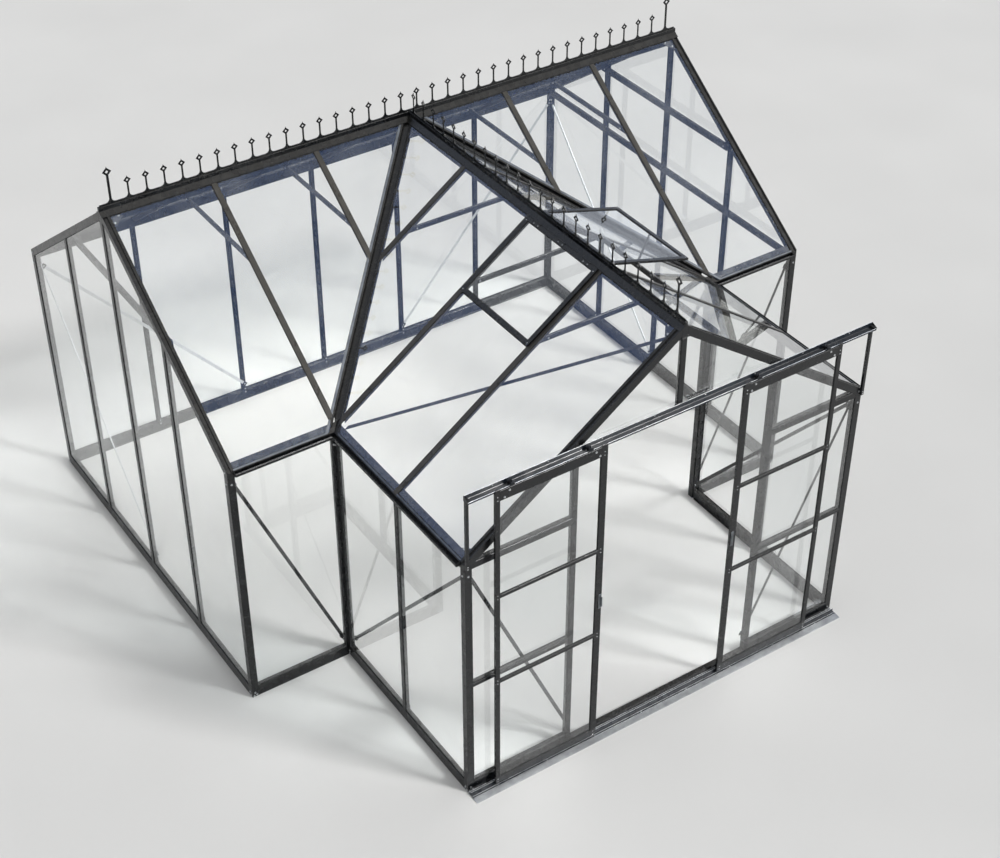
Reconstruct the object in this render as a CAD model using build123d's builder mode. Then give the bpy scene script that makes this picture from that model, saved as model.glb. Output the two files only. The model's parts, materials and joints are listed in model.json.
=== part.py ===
from build123d import *
import os
from math import cos, radians, sin, sqrt, tan

# A glass greenhouse on a T-shaped plan: a main wing with its ridge along X, and a front wing
# with its ridge along Y, standing forward between two shoulder walls. Millimetres, Z up.
# The frame is black aluminium glazing bar with panes held in its slots, and two door leaves
# slide on a track across the front gable.
os.makedirs("parts", exist_ok=True)

# Plan and roof
panel_pitch = 630.0
main_panels = 6
gable_panels = 4
wing_panels = 2
eave_height = 1633.0
roof_pitch = 35.4

# Glazing bar section: cap outside, web between the panes, shelf and bolt channel inside
cap_width = 30.0
cap_thickness = 4.0
web_width = 14.0
shelf_width = 26.0
shelf_thickness = 3.4
stem_width = 16.0
bar_depth = 34.0
bolt_slot_width = 8.0
bolt_slot_depth = 10.0

# Glass
glass_thickness = 4.0
glass_gap = 0.3
pane_play = 3.0
pane_bite = 8.0
slot_depth = 10.0

# Posts, rails and rafters
corner_post = 40.0
post_slot = 18.0
post_lip = 15.0
base_height = 70.0
base_foot = 5.0
eave_rail_height = 45.0
eave_rail_depth = 45.0
eave_lip = 4.0
gutter_reach = 25.0
gutter_fall = 26.0
gutter_wall = 3.0
gutter_rim = 14.0
mitre_gap = 0.3
rafter_depth = 42.0
rafter_slot = 12.0
rafter_rim = 8.0
rafter_groove = 18.0
rafter_groove_depth = 8.0
valley_cover = 54.0
valley_shelf = 86.0
valley_body = 42.0
valley_depth = 52.0
valley_groove = 34.0
valley_groove_depth = 12.0

# Ridge, its cap and the cresting on it
ridge_width = 36.0
ridge_depth = 52.0
ridge_cap_leg = 45.0
ridge_cap_thickness = 3.0
ridge_cap_overhang = 5.0
ridge_bead_width = 16.0
ridge_bead_height = 22.0
crest_thickness = 4.0
crest_per_panel = 6
crest_strip = 10.0
crest_flare = 22.0
crest_flare_sides = 12
crest_height = 131.0
crest_stem = 10.0
crest_ring = 42.0
crest_ring_hole = 15.0
crest_tip = 6.0
finial_height = 216.0
finial_stem = 14.0
finial_ring = 52.0
finial_ring_hole = 20.0
crest_end = 4.0

# Ties and braces
gable_tie_height = 40.0
gable_tie_thickness = 20.0
gable_tie_drop = 521.0
gable_tie_reach = 640.0
collar_height = 30.0
collar_thickness = 12.0
collar_drop = 331.0
brace_width = 20.0
brace_thickness = 3.0
brace_top_drop = 60.0
brace_foot = 115.0
roof_brace_head = 65.0

# Door wall
jamb_depth = 34.0
door_sill_height = 25.0
side_rail_height = 40.0
header_height = 35.0
mid_rail_level = 778.0
mid_rail_height = 24.0

# Door tracks
track_level = 2040.0
track_height = 30.0
track_depth = 40.0
track_wall = 3.0
track_floor = 4.0
track_lip_height = 11.0
strut_width = 17.0
strut_lap = 30.0
floor_track_depth = 58.0
floor_track_thickness = 8.0
track_fin = 3.0
track_fin_height = 18.0
ramp_depth = 34.0
ramp_edge = 3.0

# Door leaves, and where they stand when the doors are part open
leaf_width = 658.0
leaf_thickness = 16.0
leaf_foot = 20.0
leaf_clearance = 5.0
stile_width = 27.0
closing_stile_width = 38.0
bottom_rail_height = 45.0
cross_rail_height = 22.0
top_plate_height = 62.0
top_plate_thickness = 4.0
stile_rise = 25.0
top_rail_height = 40.0
cross_rail_levels = (774.0, 1364.0)
left_leaf_centre = -805.0
right_leaf_centre = 708.0
roller_offset = 230.0
axle_level = 2058.0
axle_radius = 3.5
roller_width = 8.0
roller_gap = 0.3
hanger_width = 26.0

# Roof vents
vent_width = 620.0
vent_length = 527.0
vent_bar = 25.0
vent_thickness = 14.0
vent_slot = 6.0
vent_lift = 19.0
hinge_gap = 1.5
sill_depth = 25.0
sill_width = 30.0
sill_lap = 18.0
stay_width = 10.0
stay_inset = 8.0

# Faces and levels that follow from the sizes above
pitch = radians(roof_pitch)
edge = corner_post / 2
main_half = main_panels * panel_pitch / 2
gable_half = gable_panels * panel_pitch / 2
wing_reach = gable_half + wing_panels * panel_pitch
main_face = main_half + edge
side_face = gable_half + edge
front_face = wing_reach + edge
ridge_height = eave_height + side_face * tan(pitch)
slope_run = side_face / cos(pitch)
glass_slot = glass_thickness + 2 * glass_gap
glass_seat = cap_thickness + glass_slot
glass_centre = cap_thickness + glass_slot / 2
pane_edge = web_width / 2 + pane_play
pane_width = panel_pitch - 2 * pane_edge
ridge_half = ridge_width / 2
ridge_underside = ridge_height - ridge_depth / cos(pitch) - ridge_half * tan(pitch)
eave_underside = eave_height - eave_rail_height
side_rail_level = eave_underside
header_level = track_level - header_height
gable_tie_level = ridge_height - gable_tie_drop
collar_level = ridge_height - collar_drop
strut_foot = eave_height - strut_lap
pane_bottom = base_height - pane_bite
pane_top = eave_underside + pane_bite
door_plane = front_face + track_depth + leaf_clearance + top_plate_thickness - leaf_thickness / 2
front_reach = front_face + floor_track_depth + ramp_depth
ridge_y = (front_reach - side_face - gutter_reach) / 2
jamb_line = panel_pitch
jamb_inner = jamb_line - cap_width / 2

# Directions that the slopes and walls face, as x and y
FRONT = (0, -1)
BACK = (0, 1)
LEFT = (-1, 0)
RIGHT = (1, 0)

# Places: X, Y and heights are counted from the point under the crossing of the two ridges
plan = Plane(origin=(0, ridge_y, 0))


def across_main(x):
    """Upright plane across the main wing at x; its own x runs back and its y runs up."""
    return Plane(origin=(x, ridge_y, 0), x_dir=(0, 1, 0), z_dir=(1, 0, 0))


def across_wing(y):
    """Upright plane across the front wing at y; its own x runs right and its y runs up."""
    return Plane(origin=(0, ridge_y + y, 0), x_dir=(1, 0, 0), z_dir=(0, -1, 0))


def upright(x, y, facing):
    """Upright cutting plane through x and y that faces the given way."""
    return Plane(origin=(x, ridge_y + y, 0), z_dir=(facing[0], facing[1], 0))


def slope(facing, depth=0.0):
    """Plane of a roof slope, at a depth under its outer surface; its y runs up the slope."""
    normal = Vector(facing[0] * sin(pitch), facing[1] * sin(pitch), cos(pitch))
    along = (-facing[1], facing[0], 0)
    return Plane(origin=Vector(0, ridge_y, ridge_height) - normal * depth, x_dir=along, z_dir=normal)


def slope_section(facing):
    """Plane square across a roof slope at its ridge; extruding from it runs down the slope."""
    down = (facing[0] * cos(pitch), facing[1] * cos(pitch), -sin(pitch))
    return Plane(origin=(0, ridge_y, ridge_height), x_dir=(-facing[1], facing[0], 0), z_dir=down)


def slope_level(distance, depth=0.0):
    """Height of a slope's surface at a level distance from its ridge, at a depth under it."""
    return ridge_height - distance * tan(pitch) - depth / cos(pitch)


def slope_distance(level, depth=0.0):
    """Level distance from the ridge at which a slope, at a depth under it, has this height."""
    return (ridge_height - level - depth / cos(pitch)) / tan(pitch)


def valley_side(offset, facing):
    """Upright plane along the left valley, offset from its line towards the main wing."""
    shift = offset / sqrt(2)
    return Plane(origin=(-shift, ridge_y + shift, 0), z_dir=(facing[0], facing[1], 0))


TO_MAIN = (-1, 1)


def turned(*places):
    """Locations from x, y and a turn in degrees."""
    return Locations(*[Location((x, y, 0), (0, 0, turn)) for x, y, turn in places])


# Sections
def bar_head():
    """Cap and web of a glazing bar, with the cap's face on the x axis."""
    half_cap = cap_width / 2
    half_web = web_width / 2
    Polygon(
        (-half_cap, 0), (half_cap, 0), (half_cap, -cap_thickness), (half_web, -cap_thickness),
        (half_web, -glass_seat), (-half_web, -glass_seat), (-half_web, -cap_thickness),
        (-half_cap, -cap_thickness), align=None,
    )


def bar_stem():
    """Shelf and bolt channel of a glazing bar, under the glass."""
    half_shelf = shelf_width / 2
    half_stem = stem_width / 2
    half_slot = bolt_slot_width / 2
    shelf_foot = -glass_seat - shelf_thickness
    slot_top = -bar_depth + bolt_slot_depth
    Polygon(
        (-half_shelf, -glass_seat), (half_shelf, -glass_seat), (half_shelf, shelf_foot),
        (half_stem, shelf_foot), (half_stem, -bar_depth), (half_slot, -bar_depth),
        (half_slot, slot_top), (-half_slot, slot_top), (-half_slot, -bar_depth),
        (-half_stem, -bar_depth), (-half_stem, shelf_foot), (-half_shelf, shelf_foot), align=None,
    )


def wall_bar():
    """Whole section of a wall's glazing bar."""
    bar_head()
    bar_stem()


def corner_section():
    """Corner post with its outer corner at +x +y, and a glass slot for each wall."""
    Rectangle(corner_post, corner_post)
    slot_middle = edge - glass_centre
    slot_reach = edge - post_slot / 2
    with Locations((slot_middle, -slot_reach)):
        Rectangle(glass_slot, post_slot, mode=Mode.SUBTRACT)
    with Locations((-slot_reach, slot_middle)):
        Rectangle(post_slot, glass_slot, mode=Mode.SUBTRACT)


def rail_block(outer, level, height, top_slot, bottom_slot):
    """Flat rail of the bar's depth, behind an outer face at local x, with glass slots."""
    with Locations((outer + bar_depth / 2, level + height / 2)):
        Rectangle(bar_depth, height)
    if top_slot:
        with Locations((outer + glass_centre, level + height - slot_depth / 2)):
            Rectangle(glass_slot, slot_depth, mode=Mode.SUBTRACT)
    if bottom_slot:
        with Locations((outer + glass_centre, level + slot_depth / 2)):
            Rectangle(glass_slot, slot_depth, mode=Mode.SUBTRACT)


def base_section():
    """Base rail from its outer face at x = 0 inwards: glass slot on top, anchor foot inside."""
    Polygon(
        (0, 0), (0, base_height), (cap_thickness, base_height),
        (cap_thickness, base_height - slot_depth), (glass_seat, base_height - slot_depth),
        (glass_seat, base_height), (bar_depth, base_height), (bar_depth, base_foot),
        (corner_post, base_foot), (corner_post, 0), align=None,
    )


def eave_section():
    """Eave rail from the wall's outer face at x = 0 inwards, with its gutter outside."""
    seat = glass_seat / cos(pitch)
    gutter_floor = eave_height - gutter_fall
    Polygon(
        (eave_rail_depth, eave_height + eave_rail_depth * tan(pitch) - seat),
        (0, eave_height - seat), (0, eave_height), (-eave_lip, eave_height - eave_lip * tan(pitch)),
        (-eave_lip, gutter_floor), (-gutter_reach + gutter_wall, gutter_floor),
        (-gutter_reach + gutter_wall, gutter_floor + gutter_rim),
        (-gutter_reach, gutter_floor + gutter_rim), (-gutter_reach, gutter_floor - gutter_wall),
        (0, gutter_floor - gutter_wall), (0, eave_underside), (cap_thickness, eave_underside),
        (cap_thickness, eave_underside + slot_depth), (glass_seat, eave_underside + slot_depth),
        (glass_seat, eave_underside), (eave_rail_depth, eave_underside), align=None,
    )


def rafter_section():
    """Gable rafter from its outer side at x = 0 inwards, grooved on top, slotted for both panes."""
    inner = corner_post
    groove_end = rafter_rim + rafter_groove
    Polygon(
        (0, 0), (rafter_rim, 0), (rafter_rim, -rafter_groove_depth), (groove_end, -rafter_groove_depth),
        (groove_end, 0), (inner, 0), (inner, -cap_thickness), (inner - rafter_slot, -cap_thickness),
        (inner - rafter_slot, -glass_seat), (inner, -glass_seat), (inner, -rafter_depth),
        (glass_seat, -rafter_depth), (glass_seat, -rafter_depth + slot_depth),
        (cap_thickness, -rafter_depth + slot_depth), (cap_thickness, -rafter_depth),
        (0, -rafter_depth), align=None,
    )


def ridge_section():
    """Ridge beam, pointed on top to meet both slopes."""
    shoulder = slope_level(ridge_half)
    Polygon(
        (0, ridge_height), (ridge_half, shoulder), (ridge_half, ridge_underside),
        (-ridge_half, ridge_underside), (-ridge_half, shoulder), align=None,
    )


def ridge_cap_section():
    """Folded ridge cap with a raised bead along its middle."""
    reach = ridge_cap_leg * cos(pitch)
    lip = ridge_cap_thickness * sin(pitch)
    rise = ridge_cap_thickness * cos(pitch)
    half_bead = ridge_bead_width / 2
    bead_top = ridge_height + ridge_bead_height
    bead_foot = slope_level(half_bead, -ridge_cap_thickness)
    Polygon(
        (0, ridge_height), (reach, slope_level(reach)), (reach + lip, slope_level(reach) + rise),
        (half_bead, bead_foot), (half_bead, bead_top), (-half_bead, bead_top),
        (-half_bead, bead_foot), (-reach - lip, slope_level(reach) + rise),
        (-reach, slope_level(reach)), align=None,
    )


def ring(size, hole):
    """Square ring standing on its corner."""
    Rectangle(size / sqrt(2), size / sqrt(2), rotation=45)
    Rectangle(hole / sqrt(2), hole / sqrt(2), rotation=45, mode=Mode.SUBTRACT)


def spike(stem, height, size, hole):
    """Upright of the cresting: a flared foot on the strip, a stem, a square ring and its tip."""
    centre = height - size / 2
    tip_half = crest_tip * hole / size
    with Locations((0, centre / 2)):
        Rectangle(stem, centre)
    with Locations((0, crest_strip + crest_flare / 2)):
        Rectangle(stem + 2 * crest_flare, crest_flare)
    with Locations(*[
        (side * (stem / 2 + crest_flare), crest_strip + crest_flare) for side in (-1, 1)
    ]):
        RegularPolygon(crest_flare, crest_flare_sides, mode=Mode.SUBTRACT)
    Polygon(
        (-tip_half, height - crest_tip / 2), (tip_half, height - crest_tip / 2),
        (0, height + crest_tip), align=None,
    )
    with Locations((0, centre)):
        ring(size, hole)


def crest_outline(start, end, spikes, finials):
    """Cresting along local x: a strip, a spike at each place and taller finials."""
    with Locations(((start + end) / 2, crest_strip / 2)):
        Rectangle(end - start, crest_strip)
    for x in spikes:
        with Locations((x, 0)):
            spike(crest_stem, crest_height, crest_ring, crest_ring_hole)
    for x in finials:
        with Locations((x, 0)):
            spike(finial_stem, finial_height, finial_ring, finial_ring_hole)


def brace_strip(start, end):
    """Flat brace between two points of a wall, with upright ends."""
    run = end[0] - start[0]
    fall = end[1] - start[1]
    half = brace_width / 2 * sqrt(1 + (fall / run) ** 2)
    Polygon(
        (start[0], start[1] + half), (end[0], end[1] + half), (end[0], end[1] - half),
        (start[0], start[1] - half), align=None,
    )


# Grid lines of the glazing bars
main_lines = [(i - main_panels / 2) * panel_pitch for i in range(1, main_panels)]
gable_lines = [(i - gable_panels / 2) * panel_pitch for i in range(1, gable_panels)]
main_middles = [(i + 0.5 - main_panels / 2) * panel_pitch for i in range(main_panels)]
gable_middles = [(i + 0.5 - gable_panels / 2) * panel_pitch for i in range(gable_panels)]
wing_lines = [-(gable_half + i * panel_pitch) for i in range(1, wing_panels)]
main_span = 2 * (main_half - edge)
gable_span = 2 * (gable_half - edge)
valley_stop = side_face + post_lip
shoulder_length = main_half - edge - valley_stop
shoulder_middle = (main_half - edge + valley_stop) / 2
wing_side_length = wing_reach - edge - valley_stop
wing_side_middle = -(wing_reach - edge + valley_stop) / 2
jamb_outer = jamb_line + cap_width / 2

# Base rails: one between each two posts, and a low sill in the doorway
with BuildPart() as base_rails:
    with BuildSketch(across_main(-main_span / 2)):
        with Locations(Location((side_face, 0, 0), (0, 180, 0))):
            base_section()
    extrude(amount=main_span)
    with BuildSketch(across_wing(gable_half - edge)):
        with Locations((-main_face, 0)):
            base_section()
        with Locations(Location((main_face, 0, 0), (0, 180, 0))):
            base_section()
    extrude(amount=gable_span)
    for left_end in (-(main_half - edge), valley_stop):
        with BuildSketch(across_main(left_end)):
            with Locations((-side_face, 0)):
                base_section()
        extrude(amount=shoulder_length)
    with BuildSketch(across_wing(-valley_stop)):
        with Locations((-side_face, 0)):
            base_section()
        with Locations(Location((side_face, 0, 0), (0, 180, 0))):
            base_section()
    extrude(amount=wing_side_length)
    for left_end in (-(gable_half - edge), jamb_outer):
        with BuildSketch(across_main(left_end)):
            with Locations((-front_face, 0)):
                base_section()
        extrude(amount=gable_half - edge - jamb_outer)
    with BuildSketch(across_main(-jamb_inner)):
        with Locations((-front_face + bar_depth / 2, door_sill_height / 2)):
            Rectangle(bar_depth, door_sill_height)
    extrude(amount=2 * jamb_inner)

# Corner posts of both wings, cut under the gable rafters
with BuildPart() as wing_corner_posts:
    with BuildSketch(plan):
        with turned((-gable_half, -wing_reach, 180), (gable_half, -wing_reach, 270)):
            corner_section()
    extrude(amount=ridge_height)
    split(bisect_by=slope(LEFT, rafter_depth), keep=Keep.BOTTOM)
    split(bisect_by=slope(RIGHT, rafter_depth), keep=Keep.BOTTOM)

with BuildPart() as corner_posts:
    with BuildSketch(plan):
        with turned(
            (main_half, gable_half, 0), (-main_half, gable_half, 90),
            (-main_half, -gable_half, 180), (main_half, -gable_half, 270),
        ):
            corner_section()
    extrude(amount=ridge_height)
    split(bisect_by=slope(FRONT, rafter_depth), keep=Keep.BOTTOM)
    split(bisect_by=slope(BACK, rafter_depth), keep=Keep.BOTTOM)
    add(wing_corner_posts.part)

# Valley posts stand in the inner corners, with slotted lips along both walls
with BuildPart() as valley_posts:
    with BuildSketch(plan):
        with Locations((-gable_half, -gable_half)):
            Rectangle(corner_post, corner_post)
        with Locations((-side_face - post_lip / 2, -side_face + bar_depth / 2)):
            Rectangle(post_lip, bar_depth)
        with Locations((-side_face + bar_depth / 2, -side_face - post_lip / 2)):
            Rectangle(bar_depth, post_lip)
        with Locations((-side_face - post_lip / 2, -side_face + glass_centre)):
            Rectangle(post_lip, glass_slot, mode=Mode.SUBTRACT)
        with Locations((-side_face + glass_centre, -side_face - post_lip / 2)):
            Rectangle(glass_slot, post_lip, mode=Mode.SUBTRACT)
    extrude(amount=eave_underside)
    mirror(about=Plane.YZ)

# Glazing bars of the back wall and the wing's sides
with BuildPart() as wall_bars:
    with BuildSketch(plan.offset(base_height)):
        with turned(*[(x, side_face, 0) for x in main_lines]):
            wall_bar()
        with turned(*[(-side_face, y, 90) for y in wing_lines]):
            wall_bar()
        with turned(*[(side_face, y, -90) for y in wing_lines]):
            wall_bar()
    extrude(amount=eave_underside - base_height)

# Glazing bars of the two end gables, cut under the rafters and the ridge beam
with BuildPart() as gable_bars:
    with BuildSketch(plan.offset(base_height)):
        with turned(*[(-main_face, y, 90) for y in gable_lines]):
            wall_bar()
        with turned(*[(main_face, y, -90) for y in gable_lines]):
            wall_bar()
    extrude(amount=ridge_underside - base_height)
    split(bisect_by=slope(FRONT, rafter_depth), keep=Keep.BOTTOM)
    split(bisect_by=slope(BACK, rafter_depth), keep=Keep.BOTTOM)

# Door jambs, slotted on the side of the fixed panels, and the post over the doors
with BuildPart() as door_wall_posts:
    with BuildSketch(plan):
        with Locations(*[(x, -front_face + jamb_depth / 2) for x in (-jamb_line, jamb_line)]):
            Rectangle(cap_width, jamb_depth)
        for side in (-1, 1):
            slot_face = side * (jamb_outer - pane_bite / 2)
            with Locations((slot_face, -front_face + glass_centre)):
                Rectangle(pane_bite, glass_slot, mode=Mode.SUBTRACT)
    extrude(amount=ridge_height)
    split(bisect_by=slope(LEFT, rafter_depth), keep=Keep.BOTTOM)
    split(bisect_by=slope(RIGHT, rafter_depth), keep=Keep.BOTTOM)
    with BuildSketch(plan.offset(header_level + header_height)):
        with turned((0, -front_face, 180)):
            wall_bar()
    extrude(amount=ridge_underside - header_level - header_height)

# Two rails beside each jamb, half-way up and at the eave's level, and the header over the doors
with BuildPart() as door_wall_rails:
    for left_end in (-(gable_half - edge), jamb_outer):
        with BuildSketch(across_main(left_end)):
            rail_block(-front_face, mid_rail_level, mid_rail_height, True, True)
            rail_block(-front_face, side_rail_level, side_rail_height, True, True)
        extrude(amount=gable_half - edge - jamb_outer)
    with BuildSketch(across_main(-jamb_inner)):
        rail_block(-front_face, header_level, header_height, True, False)
    extrude(amount=2 * jamb_inner)
    split(bisect_by=slope(LEFT, rafter_depth), keep=Keep.BOTTOM)
    split(bisect_by=slope(RIGHT, rafter_depth), keep=Keep.BOTTOM)

# Eave rails with their gutters, mitred in the valley corners
with BuildPart() as wing_eave_rail:
    with BuildSketch(across_wing(0)):
        with Locations((-side_face, 0)):
            eave_section()
    extrude(amount=wing_reach - edge)
    split(bisect_by=valley_side(-mitre_gap / 2, TO_MAIN), keep=Keep.BOTTOM)

with BuildPart() as eave_rails:
    with BuildSketch(across_main(-(main_half - edge))):
        with Locations((-side_face, 0)):
            eave_section()
    extrude(amount=main_half - edge)
    split(bisect_by=valley_side(mitre_gap / 2, TO_MAIN), keep=Keep.TOP)
    add(wing_eave_rail.part)
    mirror(about=Plane.YZ)
    with BuildSketch(across_main(-main_span / 2)):
        with Locations(Location((side_face, 0, 0), (0, 180, 0))):
            eave_section()
    extrude(amount=main_span)

# Ridge beams
with BuildPart() as ridge_beam_main:
    with BuildSketch(across_main(-main_face)):
        ridge_section()
    extrude(amount=2 * main_face)

with BuildPart() as ridge_beam_wing:
    with BuildSketch(across_wing(-ridge_half)):
        ridge_section()
    extrude(amount=front_face - ridge_half)

# Gable rafters: a pair over the door wall and a pair at each end of the main ridge, all
# notched at the eave for the top corner of the wall pane
notch_reach = corner_post - post_slot
with BuildPart() as door_wall_rafters:
    with BuildSketch(slope_section(RIGHT)):
        with Locations((-front_face, 0)):
            rafter_section()
    extrude(amount=slope_run + rafter_depth)
    split(bisect_by=upright(ridge_half, 0, RIGHT), keep=Keep.TOP)
    split(bisect_by=upright(side_face, 0, RIGHT), keep=Keep.BOTTOM)
    with BuildSketch(plan):
        with Locations((side_face - glass_centre, -front_face + notch_reach + post_slot / 2)):
            Rectangle(glass_slot, post_slot)
    extrude(amount=pane_top + pane_play, mode=Mode.SUBTRACT)
    mirror(about=Plane.YZ)

with BuildPart() as gable_rafters:
    with BuildSketch(slope_section(FRONT)):
        with Locations((-main_face, 0)):
            rafter_section()
    extrude(amount=slope_run + rafter_depth)
    split(bisect_by=upright(0, -ridge_half, FRONT), keep=Keep.TOP)
    split(bisect_by=upright(0, -side_face, FRONT), keep=Keep.BOTTOM)
    with BuildSketch(plan):
        with Locations((-main_face + notch_reach + post_slot / 2, -side_face + glass_centre)):
            Rectangle(post_slot, glass_slot)
    extrude(amount=pane_top + pane_play, mode=Mode.SUBTRACT)
    mirror(about=Plane.XZ.offset(-ridge_y))
    mirror(about=Plane.YZ)
    add(door_wall_rafters.part)

# Roof bars: stems stop at a valley's shelf or at the eave rail's inner face, and the caps run
# on to the valley's cover or over the rail
with BuildPart() as front_bar_stems:
    with BuildSketch(slope_section(FRONT)):
        with Locations(*[(u, 0) for u in main_lines if u < 0]):
            bar_stem()
    extrude(amount=slope_run)
    split(bisect_by=valley_side(valley_shelf / 2, TO_MAIN), keep=Keep.TOP)

with BuildPart() as roof_bars_front:
    with BuildSketch(slope_section(FRONT)):
        with Locations(*[(u, 0) for u in main_lines if u < 0]):
            bar_head()
    extrude(amount=slope_run)
    split(bisect_by=valley_side(valley_cover / 2, TO_MAIN), keep=Keep.TOP)
    add(front_bar_stems.part)
    split(bisect_by=upright(0, -ridge_half, FRONT), keep=Keep.TOP)
    mirror(about=Plane.YZ)

with BuildPart() as roof_bars_main:
    with BuildSketch(slope_section(BACK)):
        with Locations(*[(u, 0) for u in main_lines]):
            bar_stem()
    extrude(amount=slope_run + rafter_depth)
    split(bisect_by=upright(0, side_face - eave_rail_depth, BACK), keep=Keep.BOTTOM)
    with BuildSketch(slope_section(BACK)):
        with Locations(*[(u, 0) for u in main_lines]):
            bar_head()
    extrude(amount=slope_run + rafter_depth)
    split(bisect_by=upright(0, side_face, BACK), keep=Keep.BOTTOM)
    split(bisect_by=upright(0, ridge_half, BACK), keep=Keep.TOP)
    add(roof_bars_front.part)

wing_roof_lines = [i * panel_pitch for i in range(1, gable_panels // 2 + wing_panels)]
with BuildPart() as wing_bar_stems:
    with BuildSketch(slope_section(LEFT)):
        with Locations(*[(u, 0) for u in wing_roof_lines]):
            bar_stem()
    extrude(amount=slope_run + rafter_depth)
    split(bisect_by=upright(-side_face + eave_rail_depth, 0, LEFT), keep=Keep.BOTTOM)
    split(bisect_by=valley_side(-valley_shelf / 2, TO_MAIN), keep=Keep.BOTTOM)

with BuildPart() as roof_bars_wing:
    with BuildSketch(slope_section(LEFT)):
        with Locations(*[(u, 0) for u in wing_roof_lines]):
            bar_head()
    extrude(amount=slope_run + rafter_depth)
    split(bisect_by=upright(-side_face, 0, LEFT), keep=Keep.BOTTOM)
    split(bisect_by=valley_side(-valley_cover / 2, TO_MAIN), keep=Keep.BOTTOM)
    add(wing_bar_stems.part)
    split(bisect_by=upright(-ridge_half, 0, LEFT), keep=Keep.TOP)
    mirror(about=Plane.YZ)

# Valley rafters: the body runs in under both slopes with a shelf for the panes, and the cover
# on top, grooved for the rain, runs out to the eave corner
valley_rise = tan(pitch) / sqrt(2)
valley_way = (-1, -1, -tan(pitch))
valley_length = side_face * sqrt(2 + tan(pitch) ** 2)
half_cover = valley_cover / 2
half_valley_shelf = valley_shelf / 2
half_body = valley_body / 2
cap_drop = cap_thickness / cos(pitch)
seat_drop = glass_seat / cos(pitch)
valley_plane = Plane(origin=(0, ridge_y, ridge_height), x_dir=(1, -1, 0), z_dir=(-1, -1, 0))
with BuildPart() as valley_rafters:
    with BuildSketch(valley_plane):
        Polygon(
            (0, -seat_drop), (half_valley_shelf, half_valley_shelf * valley_rise - seat_drop),
            (half_valley_shelf, half_valley_shelf * valley_rise - seat_drop - shelf_thickness),
            (half_body, half_body * valley_rise - seat_drop - shelf_thickness),
            (half_body, -valley_depth), (-half_body, -valley_depth),
            (-half_body, half_body * valley_rise - seat_drop - shelf_thickness),
            (-half_valley_shelf, half_valley_shelf * valley_rise - seat_drop - shelf_thickness),
            (-half_valley_shelf, half_valley_shelf * valley_rise - seat_drop), align=None,
        )
    extrude(amount=valley_length, dir=valley_way)
    split(bisect_by=upright(-side_face + eave_rail_depth, 0, LEFT), keep=Keep.BOTTOM)
    split(bisect_by=upright(0, -side_face + eave_rail_depth, FRONT), keep=Keep.BOTTOM)
    with BuildSketch(valley_plane):
        Polygon(
            (0, 0), (half_cover, half_cover * valley_rise),
            (half_cover, half_cover * valley_rise - cap_drop),
            (half_body, half_body * valley_rise - cap_drop),
            (half_body, half_body * valley_rise - seat_drop), (0, -seat_drop),
            (-half_body, half_body * valley_rise - seat_drop),
            (-half_body, half_body * valley_rise - cap_drop),
            (-half_cover, half_cover * valley_rise - cap_drop),
            (-half_cover, half_cover * valley_rise), align=None,
        )
    extrude(amount=valley_length, dir=valley_way)
    split(bisect_by=upright(-side_face, 0, LEFT), keep=Keep.BOTTOM)
    split(bisect_by=upright(0, -side_face, FRONT), keep=Keep.BOTTOM)
    split(bisect_by=upright(-ridge_half, 0, LEFT), keep=Keep.TOP)
    split(bisect_by=upright(0, -ridge_half, FRONT), keep=Keep.TOP)
    with BuildSketch(valley_plane):
        Rectangle(valley_groove, 2 * valley_groove_depth)
    extrude(amount=valley_length, dir=valley_way, mode=Mode.SUBTRACT)
    mirror(about=Plane.YZ)

# Ridge caps, mitred where the ridges cross and standing a little past the gables
cap_reach = ridge_cap_leg + ridge_cap_thickness
with BuildPart() as ridge_cap_main:
    with BuildSketch(across_main(-main_face - ridge_cap_overhang)):
        ridge_cap_section()
    extrude(amount=2 * (main_face + ridge_cap_overhang))
    with BuildSketch(plan.offset(ridge_height - ridge_cap_leg)):
        Polygon((0, 0), (-cap_reach, -cap_reach), (cap_reach, -cap_reach), align=None)
    extrude(amount=2 * ridge_cap_leg, mode=Mode.SUBTRACT)

with BuildPart() as ridge_cap_wing:
    with BuildSketch(across_wing(0)):
        ridge_cap_section()
    extrude(amount=front_face + ridge_cap_overhang)
    split(bisect_by=Plane(origin=(0, ridge_y, 0), z_dir=(-1, 1, 0)), keep=Keep.BOTTOM)
    split(bisect_by=Plane(origin=(0, ridge_y, 0), z_dir=(1, 1, 0)), keep=Keep.BOTTOM)

# Cresting: a strip along each ridge with flared, ringed spikes, and finials at the open ends
crest_pitch = panel_pitch / crest_per_panel
crest_foot = ridge_height + ridge_bead_height
main_crest_reach = main_face - crest_end
main_spikes = [
    (i + 0.5 - main_panels * crest_per_panel / 2) * crest_pitch
    for i in range(1, main_panels * crest_per_panel - 1)
]
main_finial = main_spikes[-1] + crest_pitch
with BuildPart() as cresting_main:
    with BuildSketch(Plane(
        origin=(0, ridge_y + crest_thickness / 2, crest_foot), x_dir=(1, 0, 0), z_dir=(0, -1, 0),
    )):
        crest_outline(-main_crest_reach, main_crest_reach, main_spikes, (-main_finial, main_finial))
    extrude(amount=crest_thickness)

wing_crests = (gable_panels // 2 + wing_panels) * crest_per_panel
wing_spikes = [(i + 0.5) * crest_pitch for i in range(wing_crests - 1)]
with BuildPart() as cresting_wing:
    with BuildSketch(Plane(
        origin=(crest_thickness / 2, ridge_y, crest_foot), x_dir=(0, -1, 0), z_dir=(-1, 0, 0),
    )):
        crest_outline(
            ridge_bead_width / 2, front_face - crest_end, wing_spikes, (wing_spikes[-1] + crest_pitch,)
        )
    extrude(amount=crest_thickness)

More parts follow.
